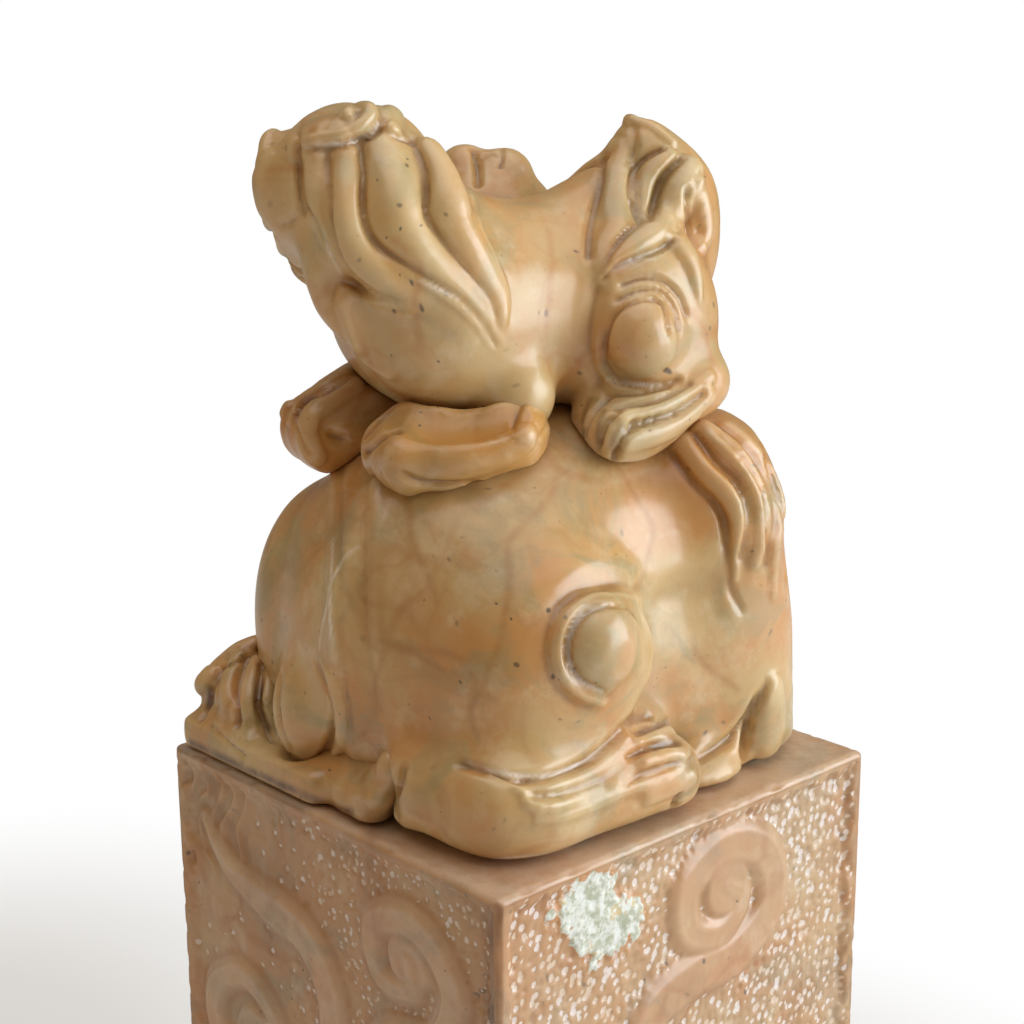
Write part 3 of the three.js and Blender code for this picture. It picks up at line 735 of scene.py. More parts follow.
# Crushed stone and broken quartz: sizes in millimetres, shares and colours
CRUMB_SIZE, CRUMB_SHARE = 0.7, 1.2
BRUISED_SHARE = 0.85
BRUISED = (rgb(0.96, 0.9, 0.87), rgb(0.9, 0.79, 0.68))
QUARTZ_RIM_SIZE, QUARTZ_RIM_SHARE = 2.4, 1.3
RUST = rgb(0.78, 0.52, 0.26)
RUST_SHARE = 0.55
QUARTZ_TINTS = (rgb(0.68, 0.69, 0.6), rgb(0.9, 0.9, 0.87))
QUARTZ_YELLOW = rgb(0.8, 0.68, 0.42)
QUARTZ_ROUGHER = 0.35


def punch_bruises(tree, place, colour, roughness):
    """Pale crushed stone in the punch marks, and broken quartz with a rusty rim."""
    bruise = attribute(tree, "bruise")
    broken = attribute(tree, "quartz")
    crumbs = reckon(tree, "SUBTRACT", noise(tree, place, CRUMB_SIZE, detail=4, rough=0.65), 0.5)
    ragged = plus(tree, bruise, times(tree, crumbs, CRUMB_SHARE))
    pale = times(tree, spread(tree, ragged, 0.3, 0.62), reckon(tree, "GREATER_THAN", bruise, 0.04))
    shade = mix_colour(tree, spread(tree, noise(tree, place, 4, detail=3), 0.4, 0.6), *BRUISED)
    colour = mix_colour(tree, times(tree, pale, BRUISED_SHARE), colour, shade)
    lumps = reckon(tree, "SUBTRACT", noise(tree, place, QUARTZ_RIM_SIZE, detail=6, rough=0.7), 0.5)
    edge = plus(tree, broken, times(tree, lumps, QUARTZ_RIM_SHARE))
    here = reckon(tree, "GREATER_THAN", broken, 0.02)
    rust = times(tree, spread(tree, edge, 0.15, 0.42), here)
    colour = mix_colour(tree, times(tree, rust, RUST_SHARE), colour, RUST)
    grains = noise(tree, place, 1.3, detail=5, rough=0.65)
    quartz = mix_colour(tree, spread(tree, grains, 0.38, 0.6), *QUARTZ_TINTS)
    yellow = spread(tree, noise(tree, place, 3.1, detail=5, rough=0.7), 0.55, 0.66, 0.0, 0.8)
    quartz = mix_colour(tree, yellow, quartz, QUARTZ_YELLOW)
    white = times(tree, spread(tree, edge, 0.4, 0.56), here)
    colour = mix_colour(tree, white, colour, quartz)
    return colour, plus(tree, roughness, times(tree, white, QUARTZ_ROUGHER))


LION_STONE = stone(
    "honey soapstone",
    ((0.78, 0.66, 0.45), (0.77, 0.55, 0.31), (0.61, 0.55, 0.38), (0.64, 0.43, 0.21)),
    0.6,
)
CUB_STONE = stone(
    "cream soapstone",
    ((0.79, 0.68, 0.48), (0.79, 0.6, 0.37), (0.66, 0.6, 0.43), (0.71, 0.45, 0.2)),
    0.65,
)
# The cub's forepaws: a warmer stone, made deeper and more orange to paint the shade they lie in
AMBER_STONE_DEEPENED_FOR_SHADE = stone(
    "amber soapstone deepened for shade",
    ((0.78, 0.6, 0.35), (0.76, 0.52, 0.25), (0.67, 0.53, 0.32), (0.62, 0.36, 0.13)),
    0.6,
)
BLOCK_STONE = stone(
    "pink tan soapstone",
    ((0.76, 0.61, 0.45), (0.75, 0.55, 0.38), (0.61, 0.53, 0.42), (0.62, 0.39, 0.18)),
    0.6,
    punch_bruises,
)

SIDE_WORDS = ("right", "left")

# Block: a core with worn edges, and a punched sheet of stone let into each side
CORNER_ROUND = 0.9
CORNER_STEPS = 4
CORE_LOW = 1.3
CORE_CUTS = (((1, 0, 0), 90), ((0, 1, 0), 90), ((0, 0, 1), 120))
SIDE_LOW = CORE_LOW + 0.4
SIDE_HIGH = BLOCK_TOP - CORNER_ROUND
SHEET_BED = 1.6
SHEET_THICKNESS = 1.2
SHEET_STEP = 0.3
SHARP_TURN = math.radians(50)
TOUCH = 0.01
LEAST_SHEET = 0.1
# The core's worn edges and rubbed top
EDGE_INSET = 0.05
EDGE_WIDTH = 0.5
CHIP = 0.3
TOP_MARGIN = 1.5
TOP_WORN = 0.06
# Painted shadow of the ledge's overhang on the rear top edge: its band, start, fade and depth
LEDGE_SHADOW_BAND, LEDGE_SHADOW_FROM, LEDGE_SHADOW_FADE, LEDGE_SHADOW_DEPTH = 1.2, -1, 3, 0.9
# Wax on the top, painted paler also as the sheen that the top catches: its share and depth
TOP_WAX_AND_SHEEN, TOP_SHEEN_DEPTH = 0.3, 0.6
# The punched ground of a side, and its smooth band
GROUND_LOW = 0.85
GROUND_WAVES = 0.12
BAND = 0.4
BAND_FADE = 1.8
EDGE_FADE = 0.6
STRUCK_FROM, STRUCK_FADE = 0.35, 0.4
DISHED = 0.05
CLOUD_STANDS = 0.85
# Painted sheen: how much paler the clouds are painted, so that their relief reads as lit
CLOUD_PAINTED_SHEEN = 0.14
# Painted shade: the orange-brown line painted along each cloud's sloping edge
OUTLINE_PAINTED_SHADE = 0.5
# Punch marks: one near each knot of a net with this pitch
PUNCH_PITCH = 1.3
PUNCH_NET = 120
PUNCH_SHIFT = 0.42
PUNCH_SIZES = (0.34, 0.7)
PUNCH_TURN = 0.5
PUNCH_LONG = 1.2
PUNCH_DEPTH = 0.5
PUNCH_RIM_AT, PUNCH_RIM_WIDTH, PUNCH_RIM = 1.15, 0.3, 0.02
BRUISE_CORE = 1.4
UNBRUISED = 0.2
# The rear side's ridges beside the corner, and its stained edge
RIDGES_FROM, RIDGES_FADE = -14, 6
RIDGES_LOW, RIDGES_LOW_FADE = -19, 5
RIDGE_PITCH, RIDGE_HEIGHT = 3.1, 0.34
REAR_BARE_FROM, REAR_BARE_FADE, REAR_LEAST = -16, 18, 0.15
REAR_STAIN_WIDTH, REAR_STAIN_FADE = 3.2, 2.4
RIPPLE_WAVES = 9
RIPPLE_LENGTHS = (0.7, 1.5)
RIPPLE_HEIGHT = 1.6


def ripple(places, wavelength, seed):
    """Smooth random waves from -1 to 1, about the given wavelength apart."""
    draw = np.random.default_rng(seed)
    total = np.zeros(len(places))
    for _ in range(RIPPLE_WAVES):
        way = draw.normal(size=places.shape[1])
        way *= draw.uniform(*RIPPLE_LENGTHS) / (np.linalg.norm(way) * wavelength) * math.tau
        total += np.sin(places @ way + draw.uniform(0, math.tau))
    return total / RIPPLE_WAVES * RIPPLE_HEIGHT


def sharpen(shape):
    """Keeps the shading crisp where the shape turns a corner."""
    for edge in shape.edges:
        edge.smooth = edge.calc_face_angle(0) < SHARP_TURN


def block_core():
    half = BLOCK_SIDE / 2
    tall = BLOCK_TOP - CORE_LOW
    shape = bmesh.new()
    bmesh.ops.create_cube(shape, size=1)
    bmesh.ops.scale(shape, vec=(BLOCK_SIDE, BLOCK_SIDE, tall), verts=shape.verts)
    bmesh.ops.translate(shape, vec=(0, 0, CORE_LOW + tall / 2), verts=shape.verts)
    edges = [e for e in shape.edges if max(v.co.z for v in e.verts) > CORE_LOW + 1]
    bevel = {"segments": CORNER_STEPS, "profile": 0.5, "affect": "EDGES", "material": -1}
    bmesh.ops.bevel(shape, geom=edges, offset=CORNER_ROUND, **bevel)
    for direction, count in CORE_CUTS:
        way = Vector(direction)
        long_edges = [e for e in shape.edges if abs((e.verts[0].co - e.verts[1].co).dot(way)) > half / 2]
        bmesh.ops.subdivide_edges(shape, edges=long_edges, cuts=count, use_grid_fill=True)
    for vert in shape.verts:
        for axis, other in ((0, 1), (1, 0)):
            flat = half - CORNER_ROUND - TOUCH
            on_side = abs(abs(vert.co[axis]) - half) < TOUCH / 10 and abs(vert.co[other]) < flat
            if on_side and SIDE_LOW < vert.co.z < SIDE_HIGH - TOUCH:
                vert.co[axis] *= 1 - SHEET_BED / half
    sharpen(shape)
    mesh = finished(shape, "block")
    mesh.transform(Matrix.Scale(MM, 4))
    places = mesh_places(mesh)
    up = places[:, 2]
    outer = np.abs(places[:, :2]).max(1)
    tangent = half - CORNER_ROUND + EDGE_INSET
    corner = ramp(np.abs(places[:, :2]).min(1), tangent, EDGE_WIDTH)
    top_edge = ramp(up, SIDE_HIGH + EDGE_INSET, EDGE_WIDTH) * (outer > tangent)
    chips = np.clip(ripple(places, 3.1, 5) + 0.5 * ripple(places, 1.3, 6) - 0.1, 0, 1)
    wear = CHIP * chips * np.maximum(corner, top_edge)
    places[:, :2] *= 1 - (wear / half)[:, None]
    places[:, 2] -= wear * top_edge
    inner_top = (up > BLOCK_TOP - TOUCH) & (outer < half - TOP_MARGIN)
    places[inner_top, 2] -= TOP_WORN * (1 + ripple(places[inner_top], 9, 8))
    set_places(mesh, places)
    set_attribute(mesh, "hollow", np.zeros(len(places)))
    set_attribute(mesh, "veins_and_edge_shade", np.clip(corner * (0.5 + 0.4 * ripple(places, 8, 9)), 0, 0.8))
    dark = np.clip(corner * (0.2 + 0.5 * ripple(places, 5, 10)), 0, 0.6)
    # Painted shadow: the ledge's overhang darkens the rear top edge, added to the corner stain
    ledge_shadow = (places[:, 1] < -half + LEDGE_SHADOW_BAND) * ramp(places[:, 0], LEDGE_SHADOW_FROM, -LEDGE_SHADOW_FADE)
    ledge_shadow = ledge_shadow * ramp(up, BLOCK_TOP - LEDGE_SHADOW_DEPTH, 0.5)
    set_attribute(mesh, "dark", np.maximum(dark, 0.9 * ledge_shadow))
    # Wax and painted sheen: the whole top painted paler
    set_attribute(mesh, "wax_and_sheen", TOP_WAX_AND_SHEEN * ramp(up, BLOCK_TOP - TOP_SHEEN_DEPTH, 0.4))
    show(mesh, "block_core", BLOCK_STONE, ["seal_block"])


# Where the broken quartz lies on the right side, as across and down from the block's top edge
QUARTZ = [
    (-23.9, -4.9), (-20.0, -1.3), (-14.5, -1.6), (-12.6, -6.0), (-7.9, -9.0), (-10.6, -12.6), (-16.7, -13.6)
]
QUARTZ_EDGE = 1.6
QUARTZ_SUNK = 0.3
QUARTZ_FILLS = 0.75


def inside_outline(across, up, outline):
    """How far inside a closed outline each place lies, negative outside, in millimetres."""
    corners = np.array(outline)
    nearest = np.full(len(across), np.inf)
    crossings = np.zeros(len(across), int)
    for (ax, ay), (bx, by) in zip(corners, np.roll(corners, -1, 0)):
        along = np.array([bx - ax, by - ay])
        t = np.clip(((across - ax) * along[0] + (up - ay) * along[1]) / (along @ along), 0, 1)
        nearest = np.minimum(nearest, np.hypot(across - ax - t * along[0], up - ay - t * along[1]))
        spans = (ay > up) != (by > up)
        cut = ax + (up - ay) * along[0] / np.where(along[1] == 0, 1e-9, along[1])
        crossings += spans & (across < cut)
    return np.where(crossings % 2 == 1, nearest, -nearest)


def punch_marks(across, up, seed, slant, density):
    """Depth of small punch marks, one near each knot of a loose net, and their crushed middles."""
    draw = np.random.default_rng(seed)
    rows = int(PUNCH_NET / PUNCH_PITCH)
    shift = draw.uniform(-PUNCH_SHIFT, PUNCH_SHIFT, (rows, rows, 2))
    size = draw.uniform(*PUNCH_SIZES, (rows, rows))
    turned = slant + draw.normal(0, PUNCH_TURN, (rows, rows))
    strong = draw.uniform(0, 1, (rows, rows))
    column = np.floor(across / PUNCH_PITCH).astype(int)
    row = np.floor(up / PUNCH_PITCH).astype(int)
    depth = np.zeros(len(across))
    bruise = np.zeros(len(across))
    for i in (-1, 0, 1):
        for j in (-1, 0, 1):
            knot = (column + i) % rows, (row + j) % rows
            dx = across - (column + i + 0.5 + shift[knot][:, 0]) * PUNCH_PITCH
            dy = up - (row + j + 0.5 + shift[knot][:, 1]) * PUNCH_PITCH
            turn = turned[knot]
            long_way = dx * np.sin(turn) + dy * np.cos(turn)
            short_way = dx * np.cos(turn) - dy * np.sin(turn)
            gap = np.hypot(long_way / PUNCH_LONG, short_way) / size[knot]
            here = strong[knot] < density
            mark = np.clip(1 - gap**2, 0, 1) * size[knot] * PUNCH_DEPTH
            rim = np.clip(1 - np.abs(gap - PUNCH_RIM_AT) / PUNCH_RIM_WIDTH, 0, 1) * PUNCH_RIM
            depth = np.maximum(depth, mark * here) - rim * here
            crushed = np.clip(BRUISE_CORE - gap * BRUISE_CORE, 0, 1) * here
            bruise = np.maximum(bruise, crushed * (strong[knot] > density * UNBRUISED))
    return depth, bruise


def sheet_mesh(wide, tall):
    """A grid with walls and a back, lying flat with its middle on the origin."""
    shape = bmesh.new()
    cells_across, cells_up = int(wide / SHEET_STEP), int(tall / SHEET_STEP)
    bmesh.ops.create_grid(shape, x_segments=cells_across, y_segments=cells_up, size=0.5)
    bmesh.ops.scale(shape, vec=(wide, tall, 1), verts=shape.verts)
    border = [e for e in shape.edges if e.is_boundary]
    walls = bmesh.ops.extrude_edge_only(shape, edges=border)["geom"]
    back = [v for v in walls if isinstance(v, bmesh.types.BMVert)]
    bmesh.ops.translate(shape, vec=(0, 0, -SHEET_THICKNESS), verts=back)
    rim = [e for e in walls if isinstance(e, bmesh.types.BMEdge) and e.is_boundary]
    bmesh.ops.contextual_create(shape, geom=rim)
    bmesh.ops.recalc_face_normals(shape, faces=shape.faces)
    sharpen(shape)
    return finished(shape, "side")


def side_sheet(side, turn, marks, density, slant, crisp):
    """One side of the block: a smooth band at its edges, and a ground let down and punched."""
    half = BLOCK_SIDE / 2 - CORNER_ROUND
    tall = SIDE_HIGH - SIDE_LOW
    mesh = sheet_mesh(2 * half, tall)
    places = mesh_places(mesh) * MM
    front = places[:, 2] > -TOUCH
    across = places[:, 0]
    up = places[:, 1] + SIDE_LOW + tall / 2 - BLOCK_TOP
    flat = np.stack([across, up], 1)
    from_edge = np.minimum(half - np.abs(across), tall / 2 - np.abs(places[:, 1]))
    off_edge = ramp(from_edge, 0, EDGE_FADE)
    ragged = from_edge + 0.55 * ripple(flat, 4.5, marks) + 0.3 * ripple(flat, 1.6, marks + 1)
    ground = eased(ramp(ragged, BAND, BAND_FADE)) * off_edge
    struck = ramp(from_edge + 0.5 * ripple(flat, 3.0, marks + 5), STRUCK_FROM, STRUCK_FADE)
    if side == "rear":
        density = density * np.clip((across - REAR_BARE_FROM) / REAR_BARE_FADE, REAR_LEAST, 1)
    depth, bruise = punch_marks(across, up, marks + 2, slant, density)
    paths = LONG_SIDE_CLOUDS if side in SIDE_WORDS else SHORT_SIDE_CLOUDS
    cloud, modelling, outline = cloud_relief(flat, paths)
    punched = struck * np.clip(1 - 2 * cloud, 0, 1)
    bruise = bruise * punched
    low = GROUND_LOW + GROUND_WAVES * ripple(flat, 7, marks + 3)
    height = -ground * low * (1 - CLOUD_STANDS * cloud)
    height += modelling * crisp * ground - depth * punched
    height -= DISHED * off_edge * (1 + ripple(flat, 11, marks + 4))
    quartz = np.zeros(len(places))
    if side == "right":
        uneven = 1.1 * ripple(flat, 3.2, 31) + 0.6 * ripple(flat, 1.2, 32)
        quartz = ramp(inside_outline(across, up, QUARTZ) + uneven, -QUARTZ_EDGE, 2 * QUARTZ_EDGE)
        rough = 0.2 * ripple(flat, 2.9, 33) + 0.16 * ripple(flat, 0.9, 34) - QUARTZ_SUNK
        broken = ramp(quartz, 0.35, 0.3) * ramp(from_edge, 0, 1)
        height = height * (1 - QUARTZ_FILLS * broken) + rough * broken
        bruise *= 1 - broken
    if side == "rear":
        ridges = ramp(across, RIDGES_FROM, -RIDGES_FADE) * ramp(up, RIDGES_LOW, RIDGES_LOW_FADE) * punched
        wander = across + 1.5 * np.sin(up / 2.1) + 0.8 * ripple(flat, 5, 35)
        height += RIDGE_HEIGHT * np.sin(wander * math.tau / RIDGE_PITCH) * ridges
        bruise *= 0.7 - 0.7 * ridges
        stained = ramp(across, half - REAR_STAIN_WIDTH, REAR_STAIN_FADE) * (0.55 + 0.35 * ripple(flat, 6, 36))
        set_attribute(mesh, "dark", np.clip(stained, 0, 0.8) * front)
    places[front, 2] = np.clip(height, LEAST_SHEET - SHEET_THICKNESS, 0)[front]
    set_places(mesh, places)
    around = Matrix.Rotation(turn, 4, "Z")
    outward = around @ Vector((0, -(BLOCK_SIDE / 2), SIDE_LOW + tall / 2))
    upright = around @ Matrix.Rotation(math.radians(90), 4, "X")
    mesh.transform(Matrix.Translation(outward * MM) @ upright)
    # Painted shade: punch marks and the grooves at the clouds' edges darken as creases
    creases = np.clip(depth * punched * 0.5, 0, 0.2) + np.clip(-modelling * ground * 2, 0, 0.6)
    looks = {
        "bruise": bruise,
        "quartz": quartz,
        # Painted sheen on the clouds, and painted shade along their edges
        "wax_and_sheen": CLOUD_PAINTED_SHEEN * crisp * cloud,
        "veins_and_edge_shade": np.clip(OUTLINE_PAINTED_SHADE * outline * crisp * ground, 0, 0.6),
        "hollow": creases,
    }
    for kind, values in looks.items():
        set_attribute(mesh, kind, values * front)
    clouds = [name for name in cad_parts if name.startswith("cloud_") and name.endswith(side)]
    show(mesh, "carved_side_" + side, BLOCK_STONE, clouds)


# Clouds on the sides: ribbons with curled ends, as across and up from the block's top edge
LONG_SIDE_CLOUDS = [
    [(-13, -34), (-8, -24.5), (0, -21.3), (8, -21), (14.6, -16.5), (13.6, -9), (6, -5.6), (-1, -9),
     (-0.5, -15), (5, -17), (9, -13.5), (6, -10.8)],
    [(26, -66), (14, -68), (4, -64), (-4, -56), (-12, -47), (-22, -48), (-24, -57), (-16, -62),
     (-10.5, -56.5), (-15.5, -53)],
]
SHORT_SIDE_CLOUDS = [
    [(-26.5, -9), (-21.5, -14), (-13.6, -16.3), (-5, -18), (0, -24), (0, -33), (-5, -40.5), (-14, -44),
     (-24, -42), (-26, -34), (-19, -29), (-12, -33), (-17, -37)],
    [(24, -66), (13, -58), (8, -46), (7, -34), (12, -25.5), (21, -22.5), (24, -14.5), (17.5, -8.5),
     (9.5, -11), (10.5, -17.5), (16.5, -17.3), (16, -13.5)],
]
CLOUD_WIDTHS = [1.2, 5.6, 5.4, 5, 4.6, 3.8, 2.4]
CLOUD_STEP = 0.8
CLOUD_REACH = 5
CLOUD_SKIRT = 1.4
CURL_PAD = 4.6
CURL_FADE = 1.2
CURL_COVERS = 0.7
# The modelling of a cloud's top: its crown, the groove at its edge and the rim inside the groove
CROWN_HEIGHT, CROWN_FADE = 0.12, 2.4
EDGE_GROOVE, EDGE_GROOVE_WIDTH = 0.16, 0.5
RIM_HEIGHT, RIM_AT, RIM_WIDTH = 0.22, 0.85, 0.4
OUTLINE_AT, OUTLINE_WIDTH = -0.7, 0.7


def bell(values, middle, width):
    return np.exp(-(((values - middle) / width) ** 2))


def cloud_relief(places, paths):
    """How far each place lies within a cloud, the modelling of the cloud's top, and its outline."""
    mound, fine, outline = np.zeros((3, len(places)))
    for corners in paths:
        line = smooth_path(corners, CLOUD_STEP)
        share = np.linspace(0, 1, len(line))
        half = np.interp(share, np.linspace(0, 1, len(CLOUD_WIDTHS)), CLOUD_WIDTHS) / 2
        low, high = line.min(0) - CLOUD_REACH, line.max(0) + CLOUD_REACH
        near = np.nonzero(np.all((places > low) & (places < high), axis=1))[0]
        inner = np.full(len(near), -9.0)
        for start, end, wide in zip(line[:-1], line[1:], half[:-1]):
            along = end - start
            away = places[near] - start
            t = np.clip(away @ along / (along @ along), 0, 1)
            gap = np.hypot(away[:, 0] - t * along[0], away[:, 1] - t * along[1])
            inner = np.maximum(inner, wide - gap)
        edge = ramp(inner, -CLOUD_SKIRT, CLOUD_SKIRT + 0.5)
        mound[near] = np.maximum(mound[near], eased(edge))
        crown = CROWN_HEIGHT * ramp(inner, 0, CROWN_FADE) - EDGE_GROOVE * bell(inner, 0, EDGE_GROOVE_WIDTH)
        fine[near] += crown + RIM_HEIGHT * bell(inner, RIM_AT, RIM_WIDTH)
        outline[near] = np.maximum(outline[near], bell(inner, OUTLINE_AT, OUTLINE_WIDTH))
        curl = ramp(np.linalg.norm(places - line[-1], axis=1), CURL_PAD, -CURL_FADE)
        mound = np.maximum(mound, curl)
        outline *= 1 - CURL_COVERS * curl
    return mound, fine, outline


# Each side: quarter turns from the rear, seed, share of punch marks, slant of the blows, crispness, which
# also scales the clouds' painted sheen and painted edge shade
SIDES = {
    "rear": (0, 100, 0.85, math.radians(-20), 1.2),
    "right": (1, 200, 1.0, math.radians(28), 0.3),
    "front": (2, 300, 0.7, math.radians(25), 0.8),
    "left": (3, 400, 0.85, math.radians(-25), 0.7),
}


def block():
    block_core()
    for side, (quarter, seed, density, slant, crisp) in SIDES.items():
        side_sheet(side, quarter * math.pi / 2, seed, density, slant, crisp)
    foot = Carving(["print_face"], coarse=0.55, softening=3, fine=0.5)
    foot.finish("print_relief", BLOCK_STONE)


def both(*names):
    return [f"{name}_{side}" for name in names for side in SIDE_WORDS]


# A mirror is the way across it and a place on it. Strokes are pixels of the photograph, widths and
# heights in millimetres; a list of widths or heights is spaced evenly along the stroke.
LION_MIRROR = ((1, 0, 0), (0, 0, 0))

# Her haunch: the ball in its curled hollow, and the scoop under the haunch's brow
HAUNCH_ROPES = [
    ([(604, 630), (606, 645), (605, 660)], 11, 1.0),
    ([(640, 597), (612, 594), (585, 600), (564, 620), (556, 645), (559, 670), (575, 692), (602, 703)],
     [1.2, 2.0, 2.2, 1.6], [0.3, 0.7, 0.8, 0.5]),
]
HAUNCH_BANKS = [
    ([(626, 726), (643, 704), (655, 676), (658, 645), (650, 618), (634, 602)], [9, 12, 14, 12, 6],
     [1.0, 2.2, 2.4, 1.6, 0.3]),
    ([(646, 604), (664, 588), (690, 579), (716, 583), (738, 606)], [8, 10, 10, 6], [0.6, 1.4, 1.4, 0.8]),
]
HAUNCH_GROOVES = [
    ([(640, 624), (630, 610), (606, 605), (583, 614), (570, 636), (568, 658), (580, 680), (602, 691)],
     [1.2, 1.4, 1.4, 1.2], [0.2, 0.7, 1.0, 1.0, 1.0, 0.9, 0.4]),
    ([(560, 604), (590, 586), (620, 582), (645, 590)], [5, 6, 5], [0.4, 0.8, 0.6]),
]

# Her flank between haunch and foreleg, filled out and rubbed smooth
FLANK_PADS = [
    ([(672, 660), (676, 690), (684, 725)], [9], [1.4]),
]
FLANK_RUBBED = [(672, 600), (680, 650), (700, 690), (700, 620)]
BROW_RUBBED = [(690, 610), (724, 622), (700, 640)]
# Her feet spread out below this height over the block, by this much
FOOT_FLARE = (6, 1.6)
FLAP_LUMPS = [((23.6, 9.5, 86.2), (4.6, 6.8, 4.4)), ((-23.6, 9.5, 86.2), (4.6, 6.8, 4.4))]

# Her mane: ropes of hair that run back over the shoulder
MANE_ROPES = [
    ([(683, 444), (707, 474), (731, 498), (739, 525), (734, 557), (732, 578)], [3.4, 3.4, 2],
     [0.9, 1, 0.5]),
    ([(704, 428), (734, 452), (752, 479), (763, 509), (763, 535), (755, 562)], [3.2, 3.2, 2],
     [0.9, 1, 0.5]),
    ([(728, 428), (755, 452), (774, 487), (779, 519), (774, 551), (773, 594)], [3, 3, 1.8],
     [0.8, 0.9, 0.5]),
]
MANE_GROOVES = [
    ([(673, 455), (694, 484), (710, 498), (723, 519), (728, 551), (731, 589), (742, 610)],
     [1.8, 2.2, 1.6], [0.5, 0.8, 0.5]),
    ([(696, 434), (712, 458), (734, 479), (747, 503), (748, 530), (740, 559)], [2.0, 2.4, 1.6],
     [0.7, 1.0, 0.6]),
    ([(720, 431), (747, 460), (766, 492), (769, 525), (766, 567)], [2.0, 2.2, 1.6], [0.6, 0.9, 0.6]),
    ([(758, 436), (777, 487), (785, 519), (786, 578)], [1.8, 2.2, 1.6], [0.5, 0.8, 0.5]),
    ([(790, 520), (793, 560), (791, 600)], [1.4, 1.8], [0.4, 0.7]),
]

# Her right hind foot
FOOT_ROPES = [
    ([(488, 771), (516, 785), (532, 805), (563, 803), (597, 788)], [1.2, 1.8, 1.8], [0.3, 0.6, 0.3]),
    ([(537, 819), (569, 815), (605, 798), (631, 785), (658, 782), (681, 764)], [1.4, 2.4, 2.4],
     [0.3, 0.7, 0.5]),
    ([(640, 742), (668, 731)], [2.4], [0.6]),
    ([(645, 762), (684, 750)], [2.6], [0.7]),
    ([(650, 795), (690, 778)], [3.0], [0.7]),
]
FOOT_GROOVES = [
    ([(461, 764), (488, 772), (509, 779), (537, 779), (566, 771), (592, 758), (613, 740),
     (634, 719), (650, 716)], [2.2], [0.9, 1.3, 1.3, 0.9]),
    ([(430, 782), (441, 795), (443, 826), (430, 847)], [2.6], [0.2, 0.35, 0.2]),
    ([(403, 768), (398, 790), (396, 812), (398, 834)], [1.8], [0.7, 1.4, 1.2]),
    ([(634, 734), (668, 722)], [1.3], [0.9]),
    ([(629, 757), (652, 746), (678, 743)], [1.6], [0.8, 1.2, 1.0]),
    ([(624, 787), (647, 772), (681, 762)], [1.6], [0.5, 1.0, 0.7]),
    ([(678, 796), (671, 812)], [1.6], [1.1]),
    ([(520, 795), (548, 797), (590, 786), (622, 766)], [2.6], [0.3, 0.6, 0.3]),
]

# Her spine, from behind: a notched ridge between two rims
SPINE_ROPES = [
    ([(334, 470), (331, 530), (330, 600), (334, 660)], [1.8], [0.2]),
    ([(377, 470), (375, 560), (376, 620), (380, 666), (390, 705), (403, 730)], [2.4], [0.2]),
]
SPINE_GROOVES = [
    ([(342, 470), (340, 540), (340, 620), (345, 680), (352, 730)], [1.8], [0.28]),
    ([(368, 470), (366, 540), (367, 620), (371, 670), (380, 712)], [2.2], [0.18]),
]
SPINE_NOTCHES = [([(344, y), (365, y + 6)], [1.2], [0.12]) for y in range(490, 720, 26)]

# Under her flank: the pointed flap, and the foreleg behind it
FLAP_ROPES = [
    ([(772, 690), (774, 720), (770, 745)], [5], [0.8]),
]
FLAP_GROOVES = [
    ([(700, 758), (716, 748), (733, 737), (747, 720), (758, 702), (768, 684)], [2.4],
     [0.8, 1.5, 1.5, 0.8]),
    ([(756, 704), (752, 720), (747, 742), (744, 768)], [2.6], [0.8, 2.2, 2.2]),
]

# Her left hock, in its hollow with a thin raised wall
HOCK_ROPES = [
    ([(322, 660), (335, 690), (341, 714), (340, 740), (330, 764), (314, 776)], [1.6, 2.0, 1.6],
     [0.3, 0.7, 0.5]),
]
HOCK_GROOVES = [
    ([(316, 664), (326, 690), (331, 712), (330, 738), (321, 758), (306, 764), (292, 756)], [1.7],
     [0.4, 1.2, 1.2, 1.0, 0.5]),
    ([(280, 676), (277, 706), (281, 732), (290, 750)], [1.8], [0.4, 1.0, 0.5]),
]

LION_VEINS = [
    [(617, 466), (639, 502), (653, 527), (648, 556), (639, 585), (629, 594)],
    [(525, 522), (508, 546), (510, 585), (505, 614), (498, 648), (484, 682)],
    [(378, 640), (400, 648), (440, 652), (462, 660), (480, 690), (496, 700)],
    [(390, 470), (408, 500), (412, 540), (430, 580), (436, 600)],
    [(484, 682), (470, 712), (480, 745)],
    [(560, 470), (548, 500), (525, 522)],
    [(690, 640), (704, 664), (738, 690)],
]
# White wax lines in the ball's ring, along her foot's edges and on her spine, painted also as the glints that
# light them
LION_WAX_AND_GLINTS = [
    [(606, 605), (583, 614), (570, 636), (568, 658), (580, 680), (602, 691)],
    [(430, 852), (470, 858), (520, 857), (580, 848), (640, 832), (690, 806)],
    [(470, 763), (500, 773), (540, 776), (575, 765), (600, 752)],
    [(333, 540), (331, 580), (330, 620), (334, 660)],
]
LION_DARK = [
    [(640, 733), (668, 724)],
    [(636, 756), (655, 748), (676, 744)],
]
# Pushes in the stone: place, radius and move
HEEL_TUCK = ((10, -30, 90), 4.5, (0.6, 1.2, 0))


